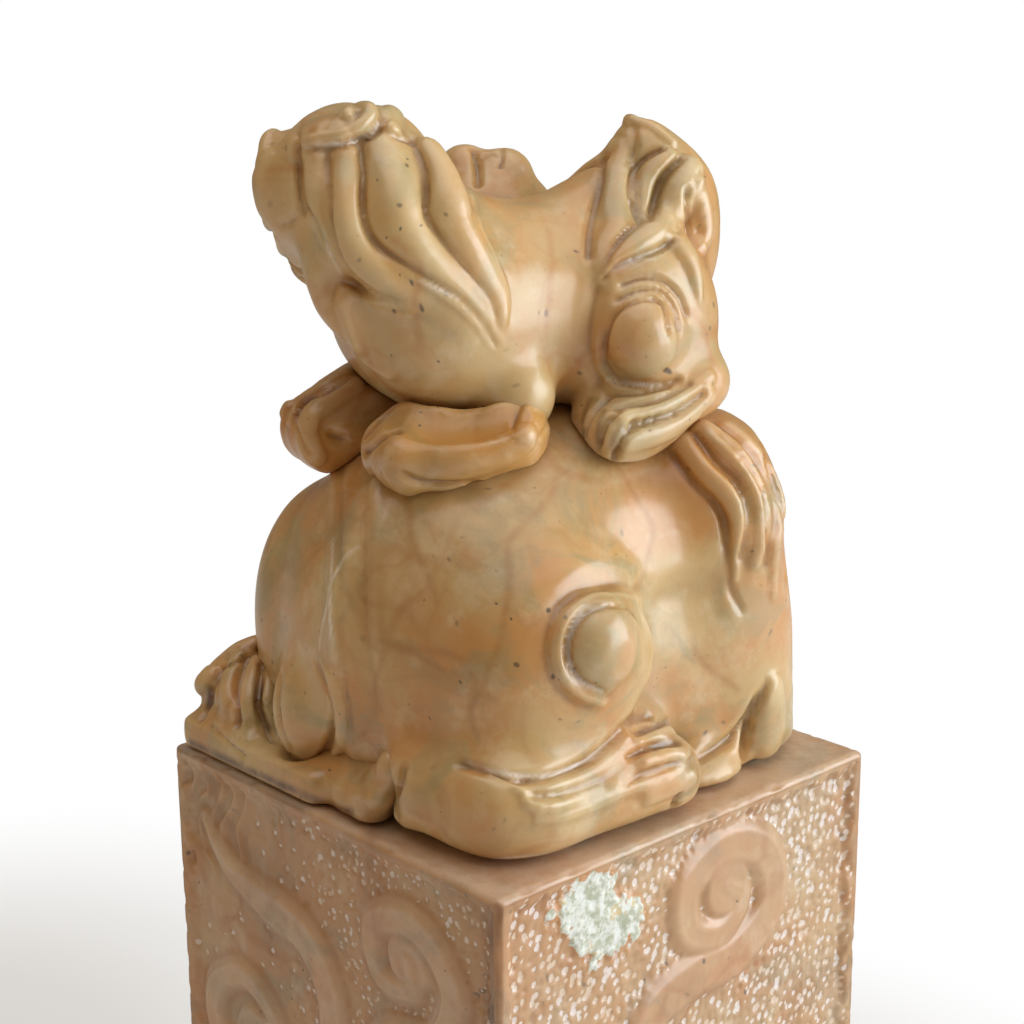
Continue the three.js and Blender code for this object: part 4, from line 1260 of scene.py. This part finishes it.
def lion_body():
    nodes = ["lion_torso", "lion_chest", "lion_neck", "lion_spine_ridge"]
    nodes += both("lion_haunch", "lion_foreleg", "lion_hind_foot", "lion_haunch_ball", "lion_mane")
    body = Carving(nodes, coarse=0.8, softening=16, fine=0.48, carved_anew=both("lion_haunch_fold"),
                   lumps=FLAP_LUMPS)
    body.carve(FLANK_PADS, mirror=LION_MIRROR)
    body.rub(FLANK_RUBBED, radius=11, times=40)
    body.drag(*HEEL_TUCK)
    body.carve(banks=HAUNCH_BANKS, mirror=LION_MIRROR)
    body.rub(BROW_RUBBED, radius=8, times=30)
    body.soften(5)
    body.stand_broad(*FOOT_FLARE)
    body.renew(0.48)
    body.carve(HAUNCH_ROPES, HAUNCH_GROOVES, mirror=LION_MIRROR)
    body.carve(MANE_ROPES, MANE_GROOVES, mirror=LION_MIRROR)
    body.carve(FOOT_ROPES, FOOT_GROOVES, mirror=LION_MIRROR)
    body.carve(SPINE_ROPES, SPINE_GROOVES)
    body.carve(grooves=SPINE_NOTCHES)
    body.carve(FLAP_ROPES, FLAP_GROOVES, mirror=LION_MIRROR)
    body.carve(HOCK_ROPES, HOCK_GROOVES)
    carve_front(body)
    body.relax(2)
    body.paint_lines("veins_and_edge_shade", LION_VEINS, width=1.5, strength=[0.35, 0.6, 0.35])
    body.paint_lines("wax_and_sheen", LION_WAX_AND_GLINTS, width=0.9, strength=[0.4, 1.0, 1.0, 0.4], mirror=LION_MIRROR)
    body.paint_lines("dark", LION_DARK, width=1.4, strength=0.7, mirror=LION_MIRROR)
    body.finish("lion_body", LION_STONE)


class Head:
    """Places on a head, in head radii: ahead of its middle, to its right, and up."""

    def __init__(self, middle, ahead, right, radius):
        self.middle = np.array(middle, float)
        self.axes = np.array([ahead, right, (0, 0, 1)], float) * radius

    def at(self, place, hand=1):
        ahead, right, up = place
        return self.middle + np.array([ahead, right * hand, up]) @ self.axes

    def work(self, carving, tool, places, width, height, hand=1):
        """Uses a tool along places laid on the head's skin."""
        stroke = carving.laid([self.at(place, hand) for place in places], hand=hand)
        tool(stroke, width, height)


# Places on a face, in head radii
EYE = (0.92, 0.4, 0.14)
EYE_WIDE, EYE_TALL = 0.2, 0.15
CHEEK = (0.2, 0.95, -0.28)
CHEEK_TURNS = 1.6
CHEEK_RADIUS = 0.3
CHEEK_CLOSES = 0.85


def eye_ring():
    return [
        np.array(EYE) + (0, EYE_WIDE * math.cos(turn), EYE_TALL * math.sin(turn))
        for turn in np.linspace(0, math.tau, 13)
    ]


def cheek_curl():
    turns = np.linspace(0, CHEEK_TURNS * math.tau, 30)
    radii = CHEEK_RADIUS * (1 - CHEEK_CLOSES * turns / turns[-1])
    return [np.array(CHEEK) + (r * math.sin(t), 0, r * math.cos(t)) for r, t in zip(radii, turns)]


# A face: each line is its places on the head, its widths and its heights in millimetres.
# The raised ones are the upper lip, the lower lip and the brow.
FACE_ROPES = [
    ([(1.15, 0.04, -0.36), (1.04, 0.32, -0.4), (0.86, 0.6, -0.36), (0.62, 0.82, -0.16)],
     [2.4, 2.8, 2.2, 1.2], [0.7, 0.9, 0.7, 0.3]),
    ([(1.0, 0, -0.7), (0.92, 0.3, -0.72), (0.74, 0.52, -0.66), (0.5, 0.72, -0.48)],
     [2.0, 2.2, 1.2], [0.6, 0.7, 0.3]),
    ([(1.0, 0.1, 0.34), (0.97, 0.28, 0.48), (0.86, 0.52, 0.54), (0.7, 0.7, 0.44), (0.66, 0.76, 0.28),
      (0.74, 0.68, 0.22)], [2.4, 3.2, 3.2, 2.6, 2.0], [0.7, 1.1, 1.1, 0.9, 0.6]),
]
# The cut ones are the mouth, the top of the brow, the side of the nose, the beard and the eye's rim
FACE_GROOVES = [
    ([(1.1, 0, -0.5), (1.02, 0.3, -0.56), (0.84, 0.54, -0.5), (0.6, 0.74, -0.32)],
     [1.8, 2.0, 1.4], [1.6, 1.5, 0.7]),
    ([(1.0, 0.08, 0.56), (0.92, 0.3, 0.68), (0.8, 0.54, 0.72), (0.62, 0.74, 0.6)], [1.4], [0.6]),
    ([(0.98, 0.16, 0.3), (1.08, 0.2, 0.1), (1.1, 0.27, -0.12), (1.0, 0.3, -0.24)], [1.3], [0.5, 0.8, 0.5]),
    *[([(0.7, side, -0.8), (0.5, side * 1.15, -0.95), (0.3, side * 1.3, -1.0)], [1.4], [0.8, 0.8, 0.4])
      for side in (0.1, 0.3, 0.5)],
    (eye_ring(), [1.1], [0.7]),
]
CHEEK_GROOVE = (cheek_curl(), [1.3], [0.9, 0.9, 0.6])
# Domes and dishes: place on the head, and radius and height in millimetres
EYEBALL = (EYE, 3.0, 0.8)
PUPIL = (EYE, 0.9, -0.5)
NOSTRIL = ((1.14, 0.13, -0.2), 1.0, -0.8)


def carve_face(carving, head, cheeks):
    """Both halves of a face, and a curl on some cheeks."""
    for hand in (1, -1):
        for places, width, height in FACE_ROPES:
            head.work(carving, carving.rope, places, width, height, hand)
        place, radius, height = EYEBALL
        carving.bump(head.at(place, hand), radius, height)
    carving.write()
    for hand in (1, -1):
        for places, width, depth in FACE_GROOVES:
            head.work(carving, carving.groove, places, width, depth, hand)
        for place, radius, height in (PUPIL, NOSTRIL):
            carving.bump(carving.laid([head.at(place, hand)] * 2).points[0], radius, height)
        if hand in cheeks:
            head.work(carving, carving.groove, *CHEEK_GROOVE, hand)
    carving.write()


# Partings of the hair at the back of a head
HAIR_GROOVES = [
    ([(-0.8, side, 0.2), (-0.95, side * 1.05, -0.15), (-0.85, side * 1.1, -0.55)], [1.8], [0.4, 1.0, 0.9])
    for side in (-0.8, -0.48, -0.16, 0.16, 0.48, 0.8)
]
LION_HEAD = Head((-17, 10.5, 149), (-0.9397, -0.342, 0), (-0.342, 0.9397, 0), 11.5)
CUB_HEAD = Head((-7.31, -18.61, 159), (-1, 0, 0), (0, 1, 0), 10.5)

# Her forelegs, chest and neck, in front
FORELEGS = (18, -18.8)
# Over each foreleg's foot: place along y and z, radius and height
KNUCKLES = ((30, 88.5), 6, 1.0)
CHEST_LOCKS = [
    [(x * 0.55, 22, 130), (x * 0.8, 27, 122), (x, 30, 112), (x * 1.02, 30, 103), (x * 0.9, 28, 97)]
    for x in (-10, -6, -2, 2, 6, 10)
]
CHEST_ROPE = ([3.0, 4.2, 4.4, 3.6, 2], [0.5, 1.2, 1.3, 1.0, 0.4])
CHEST_GROOVE = ([1.4], [0.3, 0.8, 0.8, 0.6])
TOES = (-2.7, 0, 2.7)
TOE_LINE = [(1.0, 33, 85.6), (1.0, 33, 88), (0.8, 31, 92)]
TOE_GROOVE = ([1.5], [1.1, 1.1, 0.3])
WRIST_LINE = [(-7, 25, 95), (-4, 29, 94), (0, 32, 93.4), (4, 29, 94), (7, 25, 95)]
WRIST_GROOVE = ([2.0], [0.4, 0.8, 0.4])


def carve_front(body):
    for x in FORELEGS:
        place, radius, height = KNUCKLES
        body.bump((x, *place), radius, height)
    for lock in CHEST_LOCKS:
        body.rope(body.laid(lock), *CHEST_ROPE)
    body.write()
    for left, right in zip(CHEST_LOCKS, CHEST_LOCKS[1:]):
        body.groove(body.laid((np.array(left) + np.array(right)) / 2), *CHEST_GROOVE)
    for x in FORELEGS:
        for toe in TOES:
            body.groove(body.laid([(x + toe * share, y, z) for share, y, z in TOE_LINE]), *TOE_GROOVE)
        body.groove(body.laid([(x + beside, y, z) for beside, y, z in WRIST_LINE]), *WRIST_GROOVE)
    body.write()


CROWN_GROOVES = [
    ([(474, 150), (477, 165), (478, 184)], [1.8], [1.2]),
    ([(501, 146), (502, 156), (500, 167)], [1.2], [0.7]),
    ([(480, 160), (488, 154), (497, 156)], [1.0], [0.4]),
]


def lion_head():
    nodes = ["lion_skull", "lion_jaw", "lion_nose", "lion_crown"] + both("lion_brow", "lion_eye", "lion_ear")
    head = Carving(nodes, coarse=0.6, softening=9, fine=0.4)
    carve_face(head, LION_HEAD, (1, -1))
    for places, width, depth in HAIR_GROOVES:
        LION_HEAD.work(head, head.groove, places, width, depth)
    head.write()
    head.carve(grooves=CROWN_GROOVES)
    head.finish("lion_head", LION_STONE)


TAIL_ROPES = [
    ([(208, 674), (197, 690), (197, 704)], [3.2], [0.7]),
    ([(238, 658), (228, 682), (226, 706), (222, 722)], [2.8, 2.8, 2], [0.8, 0.8, 0.3]),
    ([(234, 652), (248, 644), (260, 640)], [2.4], [0.6]),
    ([(258, 662), (250, 686), (248, 710), (254, 732)], [2.8, 2.8, 2], [0.8, 0.8, 0.3]),
    ([(268, 668), (268, 684), (266, 698)], [2.0], [0.6]),
]
TAIL_GROOVES = [
    ([(222, 668), (213, 686), (211, 702), (208, 716)], [1.8], [1.0]),
    ([(248, 656), (239, 680), (237, 702), (240, 724)], [1.8], [1.0]),
    ([(262, 664), (259, 689), (258, 706), (266, 726), (280, 740)], [1.8], [1.0]),
    ([(217, 724), (236, 740), (252, 754)], [1.4], [0.6]),
    ([(262, 648), (248, 656), (236, 662), (226, 666)], [1.5], [0.7]),
]

# Rock that runs on from the ledge to her right heel, and ends in a fin against it
LEDGE_LUMPS = [
    ((-25.0, -24.5, 91.6), (6.0, 5.6, 5.6)),
    ((-20.0, -24.0, 91.0), (5.4, 6.0, 5.6)),
    ((-2.5, -25.0, 87.0), (7.0, 4.8, 4.6)),
    ((2.0, -25.4, 87.8), (5.5, 4.8, 5.4)),
    ((5.4, -27.8, 87.0), (2.9, 2.4, 3.6)),
    ((7.6, -28.4, 90.0), (2.6, 2.2, 3.6)),
    ((9.8, -29.2, 93.0), (2.0, 1.8, 2.8)),
]
# The ledge's foot stands out by this much, before y and below z, each over its fade
LEDGE_OUT = 1.3
LEDGE_FROM_Y, LEDGE_FADE_Y = -25, 5
LEDGE_FROM_Z, LEDGE_FADE_Z = 92, 3
# Painted shadow: the dark gap under the ledge's overhang, the crease where it meets her body, and lines
# between the tail's strands
LEDGE_PAINTED_SHADOW = [
    [(190, 743), (230, 762), (270, 781), (314, 800)],
    [(314, 800), (336, 812), (352, 812)],
    [(262, 690), (260, 708), (268, 728)],
    [(210, 690), (209, 706)],
]


def lion_tail():
    tail = Carving(["lion_tail", "tail_ledge"], coarse=0.6, softening=10, fine=0.3, lumps=LEDGE_LUMPS)
    tail.carve(TAIL_ROPES, TAIL_GROOVES)
    low = ramp(tail.points[:, 2], LEDGE_FROM_Z, -LEDGE_FADE_Z)
    tail.points[:, 1] -= LEDGE_OUT * ramp(tail.points[:, 1], LEDGE_FROM_Y, -LEDGE_FADE_Y) * low
    tail.relax(1)
    tail.paint_lines("dark", LEDGE_PAINTED_SHADOW, width=2.0, strength=0.9)
    tail.finish("lion_tail_on_its_ledge", LION_STONE)


CUB_TAIL_ROPES = [
    ([(692, 168), (681, 190), (671, 212), (655, 231), (631, 247), (613, 261), (601, 283)],
     [3.8, 4.4, 4.4, 4, 3.4, 2.6, 1.8], [1.2, 1.5, 1.5, 1.3, 1.0, 0.7, 0.3]),
    ([(616, 148), (618, 180), (616, 205), (617, 222), (606, 243), (598, 265)],
     [3, 4, 4.4, 4, 3, 1.8], [0.4, 0.9, 1.0, 0.8, 0.5, 0.2]),
    ([(668, 156), (651, 172), (644, 192), (645, 212)], [2.6, 3, 2.6, 1.8], [0.8, 1.0, 0.9, 0.5]),
    ([(696, 186), (703, 208), (706, 232), (700, 247)], [3, 3.4, 2.6], [0.9]),
    ([(676, 244), (690, 262), (696, 282), (699, 300)], [3, 3.2, 2.6, 1.4], [1.0, 1.0, 0.8, 0.4]),
    ([(610, 126), (625, 121), (650, 125), (672, 142)], [1.8], [0.5]),
]
CUB_TAIL_GROOVES = [
    ([(602, 158), (601, 183), (594, 209), (589, 233), (588, 256)], [2.0], [0.7]),
    ([(662, 149), (643, 158), (634, 170), (630, 188), (633, 208), (641, 222)], [1.5], [0.9]),
    ([(680, 160), (664, 176), (657, 192), (653, 208), (648, 220)], [1.7], [1.0, 1.2, 0.9]),
    ([(640, 224), (624, 236), (610, 252), (601, 270)], [1.5], [0.5, 0.8, 0.4]),
    ([(688, 190), (688, 214), (690, 236), (698, 252)], [1.6], [1.0]),
    ([(604, 278), (620, 264), (642, 256), (662, 248), (676, 238)], [1.5], [0.8]),
    ([(634, 130), (634, 150), (628, 166)], [2.0], [0.4, 0.4, 0.2]),
]
CUB_HAUNCH_ROPES = [
    ([(640, 330), (645, 344)], 9, 1.5),
]
CUB_HAUNCH_GROOVES = [
    ([(622, 285), (632, 281), (646, 278), (660, 280), (671, 287), (681, 299), (687, 316)], [1.8], [0.7]),
    ([(618, 300), (630, 293), (642, 290), (659, 290), (668, 298), (676, 312), (679, 330)], [1.6], [0.6]),
    ([(604, 368), (603, 350), (606, 332), (613, 314), (626, 303), (642, 298), (656, 300),
     (666, 310), (671, 330)], [1.9], [1.0, 1.1, 0.9]),
    ([(604, 366), (615, 379), (635, 384), (660, 384), (678, 380)], [1.8], [1.0]),
    ([(598, 283), (591, 320), (589, 344), (593, 369), (600, 384)], [3.6], [0.6]),
]
CUB_FOOT_ROPES = [
    ([(621, 416), (650, 410), (673, 402), (691, 390), (709, 377)], [2.2], [0.5]),
    ([(626, 442), (646, 438), (669, 430), (690, 414), (706, 396)], [3.4], [0.7]),
]
CUB_FOOT_GROOVES = [
    ([(608, 398), (592, 414), (585, 434)], [1.4], [1.0]),
    ([(618, 410), (605, 424), (598, 446)], [1.5], [1.2]),
    ([(636, 424), (622, 439), (614, 462)], [1.6], [1.3]),
    ([(614, 408), (640, 404), (664, 397), (690, 383)], [1.6], [0.7]),
    ([(634, 425), (654, 420), (680, 411), (704, 394)], [1.8], [0.9]),
    ([(606, 395), (640, 392), (668, 386)], [1.6], [0.7]),
]
CUB_MANE_LAPS = [
    ([(446, 152), (464, 174), (473, 196), (476, 224), (488, 250), (503, 280), (508, 306), (504, 332)],
     [5, 6, 5, 2], [0.6, 1.0, 0.9, 0.4]),
    ([(399, 382), (375, 367), (354, 346), (342, 320), (338, 296), (341, 284)], [5], [0.9]),
    ([(340, 285), (358, 292), (385, 298), (418, 308)], [6, 6, 4], [1.0, 0.8, 0.3]),
]
# Four locks of her mane, each a broad round band
CUB_MANE_ROPES = [
    ([(314, 150), (315, 185), (318, 215), (328, 245), (338, 268)], [2.8, 3.0, 2.8, 2],
     [0.6, 0.8, 0.6, 0.2]),
    ([(344, 148), (347, 180), (346, 210), (351, 238), (364, 262), (388, 280), (424, 299),
     (452, 320), (478, 346)], [3.2, 3.6, 3.8, 4, 4.2, 4.2, 3.6, 2.4],
     [0.8, 0.9, 0.9, 0.8, 0.7, 0.5, 0.3, 0]),
    ([(388, 146), (394, 175), (394, 205), (399, 228), (416, 250), (441, 272), (466, 294),
     (486, 320), (497, 345)], [6, 7, 7.4, 6.6, 5.6, 5, 4, 2.4],
     [1.0, 1.2, 1.2, 1.1, 1.0, 0.8, 0.5, 0.1]),
    ([(432, 148), (446, 175), (450, 200), (451, 222), (463, 245), (481, 270), (495, 298), (503, 326)],
     [4.4, 5.4, 5.8, 5.4, 5, 4.2, 3.2, 2], [0.8, 1.0, 1.1, 1.1, 1.0, 0.8, 0.5, 0.1]),
]
CUB_MANE_GROOVES = [
    ([(360, 146), (363, 172), (362, 198), (366, 226), (378, 245), (398, 260), (427, 278),
     (459, 298), (481, 321), (496, 346)], [1.4, 1.6, 1.6, 1.4, 1.1], [0.4, 0.7, 0.7, 0.6, 0.3]),
    ([(415, 143), (425, 166), (427, 194), (426, 214), (438, 234), (455, 257), (474, 278),
     (491, 300), (499, 328)], [1.4, 1.6, 1.6, 1.4, 1.1], [0.4, 0.7, 0.7, 0.6, 0.3]),
    ([(299, 148), (299, 172), (301, 196), (312, 218), (322, 240), (334, 262)], [1.5, 1.7, 1.4],
     [0.5, 0.8, 0.5]),
    ([(330, 160), (330, 190), (331, 221), (338, 250), (350, 274)], [1.4], [0.2, 0.6, 0.6, 0.3]),
    ([(282, 226), (292, 221), (300, 214)], [1.6], [0.3, 0.5, 0.3]),
]
CUB_CROWN_ROPES = [
    ([(304, 132), (322, 118), (338, 108)], 8, 0.8),
    ([(308, 142), (332, 137), (352, 130), (366, 121), (370, 111), (362, 104), (351, 106), (347, 114)],
     [1.6, 2.4, 2.6, 2.4, 2.2, 2.0], [0.4, 0.8, 1.0, 1.0, 0.9, 0.7]),
    ([(390, 128), (394, 114), (403, 109), (413, 117), (424, 134)], [3.2], [0.8]),
]
CUB_CROWN_GROOVES = [
    ([(301, 149), (318, 149), (339, 145), (358, 141), (377, 132), (384, 119)], [1.5], [0.5, 0.9, 0.9]),
    ([(297, 132), (297, 152), (297, 172), (298, 198), (303, 214)], [1.7], [0.6, 1.2, 0.9]),
    ([(384, 130), (400, 138), (414, 144)], [1.5], [0.6]),
    ([(359, 112), (353, 119), (341, 125), (322, 131)], [1.3], [0.6, 0.5, 0.2]),
]

CUB_LUMPS = [((9.2, -7.8, 135.0), (5.0, 5.0, 5.4))]
CUB_MIRROR = ((-0.9613, 0.2756, 0), (0, 0, 132))
CUB_EAR_CORNER = (268, 136)
CUB_EAR_ROUNDED = (6, (0.6, 0.65, -0.9))
CUB_EAR_TUCK = ((-12, -31, 160), 8, (0.7, 0.9, 0))
CUB_DOME_REST = ((-8, -20, 170), 9, (0, 0, -0.9))
CUB_VEINS = [
    [(548, 230), (552, 262), (549, 300), (546, 340), (550, 372)],
    [(600, 130), (592, 180), (585, 230), (580, 262)],
    [(268, 170), (290, 168), (305, 172)],
    [(395, 240), (420, 268), (415, 300), (422, 350)],
]
# White wax lines in the cub's grooves and along its foot, painted also as the glints that light them
CUB_WAX_AND_GLINTS = [
    [(302, 147), (330, 144), (352, 140), (378, 125)],
    [(323, 232), (330, 252), (341, 274)],
    [(420, 280), (440, 290), (458, 299)],
    [(613, 270), (633, 261), (655, 259)],
    [(607, 380), (635, 384), (660, 384)],
]
CUB_DARK = [
    [(590, 400), (583, 420), (584, 438)],
    [(603, 412), (598, 430), (600, 448)],
    [(622, 428), (614, 446), (612, 460)],
]


def cub_carving():
    nodes = ["cub_torso", "cub_hind_foot", "cub_haunch_ball", "cub_tail"]
    nodes += ["cub_skull", "cub_jaw", "cub_nose", "cub_crown", "cub_mane_left"]
    nodes += both("cub_haunch", "cub_brow", "cub_eye", "cub_ear")
    cub = Carving(nodes, coarse=0.65, softening=20, fine=0.39, carved_anew=["cub_haunch_ring"],
                  lumps=CUB_LUMPS)
    cub.drag(*CUB_EAR_TUCK)
    cub.drag(*CUB_DOME_REST)
    cub.drag(cub.spot(CUB_EAR_CORNER), *CUB_EAR_ROUNDED)
    for pixels, fade, height in CUB_MANE_LAPS:
        cub.lap(cub.traced(pixels), fade, height, edge=1.0)
        cub.write()
    cub.carve(CUB_MANE_ROPES)
    cub.relax(1)
    cub.carve(grooves=CUB_MANE_GROOVES)
    cub.carve(CUB_CROWN_ROPES, CUB_CROWN_GROOVES)
    cub.carve(CUB_TAIL_ROPES, CUB_TAIL_GROOVES, mirror=CUB_MIRROR)
    cub.carve(CUB_HAUNCH_ROPES, CUB_HAUNCH_GROOVES, mirror=CUB_MIRROR)
    cub.carve(CUB_FOOT_ROPES, CUB_FOOT_GROOVES)
    carve_face(cub, CUB_HEAD, (1,))
    cub.relax(2)
    cub.paint_lines("veins_and_edge_shade", CUB_VEINS, width=1.5, strength=[0.3, 0.5, 0.3])
    cub.paint_lines("wax_and_sheen", CUB_WAX_AND_GLINTS, width=0.8, strength=[0.4, 0.9, 0.4])
    cub.paint_lines("dark", CUB_DARK, width=1.6, strength=0.6)
    cub.finish("cub", CUB_STONE)


# The cub's forepaws: the far one is under its head, the near one is bent at the elbow
FAR_PAW_GROOVES = [
    ([(338, 369), (313, 385), (295, 399), (286, 417)], [1.3], [0.3, 0.9, 0.7]),
    ([(352, 376), (322, 394), (302, 404), (296, 421), (300, 440), (309, 454)], [1.5],
     [0.3, 1.0, 1.0, 0.8, 0.4]),
    ([(324, 430), (338, 439), (352, 442)], [2.8], [0.2, 0.9, 0.9, 0.2]),
]
FAR_PAW_ROPES = [
    ([(330, 368), (306, 384), (291, 398), (284, 412)], [2.0], [0.5]),
    ([(346, 372), (318, 389), (299, 402), (291, 418)], [2.2], [0.6]),
    ([(352, 386), (326, 402), (310, 414), (306, 436), (314, 456)], [3.6], [0.7]),
]
NEAR_PAW_GROOVES = [
    ([(391, 409), (376, 424), (364, 436)], [1.5], [0.9]),
    ([(512, 430), (515, 415), (522, 403)], [1.8], [0.3, 0.7, 0.5]),
    ([(398, 432), (384, 437), (372, 447), (364, 453)], [1.5], [0.9]),
    ([(404, 474), (421, 482), (451, 484), (491, 480), (520, 473)], [1.8], [0.3, 0.7, 0.4]),
]
NEAR_PAW_ROPES = [
    ([(396, 400), (382, 410), (368, 422)], [2.4], [0.6]),
    ([(402, 420), (430, 424), (470, 423), (508, 418)], [5, 6, 6, 5], [-0.5, -1.2, -1.3, -0.6]),
    ([(396, 452), (430, 462), (462, 462), (498, 454), (524, 440)], [4, 4.6, 4.6, 4],
     [0.3, 0.8, 0.8, 0.6]),
    ([(524, 428), (532, 412), (538, 398)], [4.4], [0.4, 0.8, 0.6]),
]
NEAR_ELBOW = ((16, -6, 133), 8, (-1.2, -1.3, 0))
# The near forepaw sinks toward its elbow, over this reach along x and above this height
NEAR_ELBOW_REACH = 10
NEAR_ELBOW_LOW = 130
NEAR_ELBOW_DROP = 0.45


def cub_paws():
    paws = {"left": (NEAR_PAW_ROPES, NEAR_PAW_GROOVES), "right": (FAR_PAW_ROPES, FAR_PAW_GROOVES)}
    for side, (ropes, grooves) in paws.items():
        leg = Carving(["cub_foreleg_" + side], coarse=0.6, softening=12, fine=0.32)
        if side == "left":
            share = ramp(leg.points[:, 0], 0, NEAR_ELBOW_REACH) * NEAR_ELBOW_DROP
            leg.points[:, 2] -= share * np.maximum(leg.points[:, 2] - NEAR_ELBOW_LOW, 0)
            leg.drag(*NEAR_ELBOW)
        leg.carve(ropes, grooves)
        leg.relax(1)
        # Painted shade: the forepaws take the deepened amber stone
        leg.finish("cub_forepaw_" + side, AMBER_STONE_DEEPENED_FOR_SHADE)


# Floor, light and camera: the floor fades to white, but stays a lit grey near the stamp and in a spot on its
# left where the stamp's shadow falls, so it keeps that shadow; the grey spot is also painted shade
WHITE = (1, 1, 1, 1)
FLOOR_SIZE = 80
FLOOR_GREY = (0.8, 0.8, 0.8, 1)
FLOOR_ROUGHNESS = 0.7
SHADE_AT = (-0.12, -0.03, 0.0)
SHADE_LEAST = 0.3
STAMP_FADE = (0.07, 0.13)
SHADE_FADE = (0.02, 0.115)
WORLD_COLOUR = (1.0, 0.79, 0.53, 1)
WORLD_STRENGTH = 0.24


def seen_directly(tree):
    """1 for what the camera sees, straight or through glass, and 0 for the light that falls on things."""
    path = place_node(tree, "ShaderNodeLightPath").outputs
    return reckon(tree, "MAXIMUM", path["Is Camera Ray"], path["Is Transmission Ray"])


def mix_shaders(tree, share, first, second, output):
    mixed = place_node(tree, "ShaderNodeMixShader", {0: share, 1: first.outputs[0], 2: second.outputs[0]})
    tree.links.new(mixed.outputs[0], tree.nodes[output].inputs["Surface"])


def make_floor():
    bpy.ops.mesh.primitive_plane_add(size=FLOOR_SIZE)
    floor = bpy.context.object
    floor.name = "floor"
    material = bpy.data.materials.new("pale floor")
    material.use_nodes = True
    tree = material.node_tree
    matte = {"Base Color": FLOOR_GREY, "Roughness": FLOOR_ROUGHNESS}
    shader = fill(tree, tree.nodes["Principled BSDF"], matte)
    glow = place_node(tree, "ShaderNodeEmission", {"Color": WHITE, "Strength": 1.0})
    place = place_node(tree, "ShaderNodeTexCoord").outputs["Object"]
    from_stamp = vector_math(tree, "LENGTH", place)["Value"]
    from_shade = vector_math(tree, "DISTANCE", place, SHADE_AT)["Value"]
    near = spread(tree, from_stamp, *STAMP_FADE, SHADE_LEAST, 1.0)
    dim = spread(tree, from_shade, *SHADE_FADE, SHADE_LEAST, 1.0)
    share = times(tree, seen_directly(tree), reckon(tree, "MINIMUM", near, dim))
    mix_shaders(tree, share, shader, glow, "Material Output")
    floor.data.materials.append(material)


def make_world():
    world = bpy.data.worlds.new("studio")
    world.use_nodes = True
    tree = world.node_tree
    plain = fill(tree, tree.nodes["Background"], {"Color": WORLD_COLOUR, "Strength": WORLD_STRENGTH})
    white = place_node(tree, "ShaderNodeBackground", {"Color": WHITE, "Strength": 1.0})
    mix_shaders(tree, seen_directly(tree), plain, white, "World Output")
    bpy.context.scene.world = world


# Lamps: place, size, power and tint; all look at the middle of the stamp
LAMPS_LOOK_AT = (0, 0, 0.1)
LAMPS = {
    "right_window": ((0.68, 0.5, 0.3), (0.75, 0.6), 7.7, (0.88, 0.95, 1)),
    "top_box": ((0.1, 0.0, 0.95), (1.1, 1.1), 4.8, (1, 1, 1)),
    "left_fill": ((-0.5, -0.7, 0.4), (0.8, 0.8), 0.6, (1, 0.76, 0.46)),
}


def make_light():
    for name, (place, size, power, tint) in LAMPS.items():
        data = bpy.data.lights.new(name, "AREA")
        data.shape = "RECTANGLE"
        data.size, data.size_y = size
        data.energy = power
        data.color = tint
        lamp = bpy.data.objects.new(name, data)
        lamp.location = place
        toward = Vector(LAMPS_LOOK_AT) - Vector(place)
        lamp.rotation_euler = toward.to_track_quat("-Z", "Y").to_euler()
        bpy.context.scene.collection.objects.link(lamp)


make_camera()
make_world()
make_light()
make_floor()
block()
lion_body()
lion_head()
lion_tail()
cub_carving()
cub_paws()

bpy.context.scene.view_settings.view_transform = "Standard"
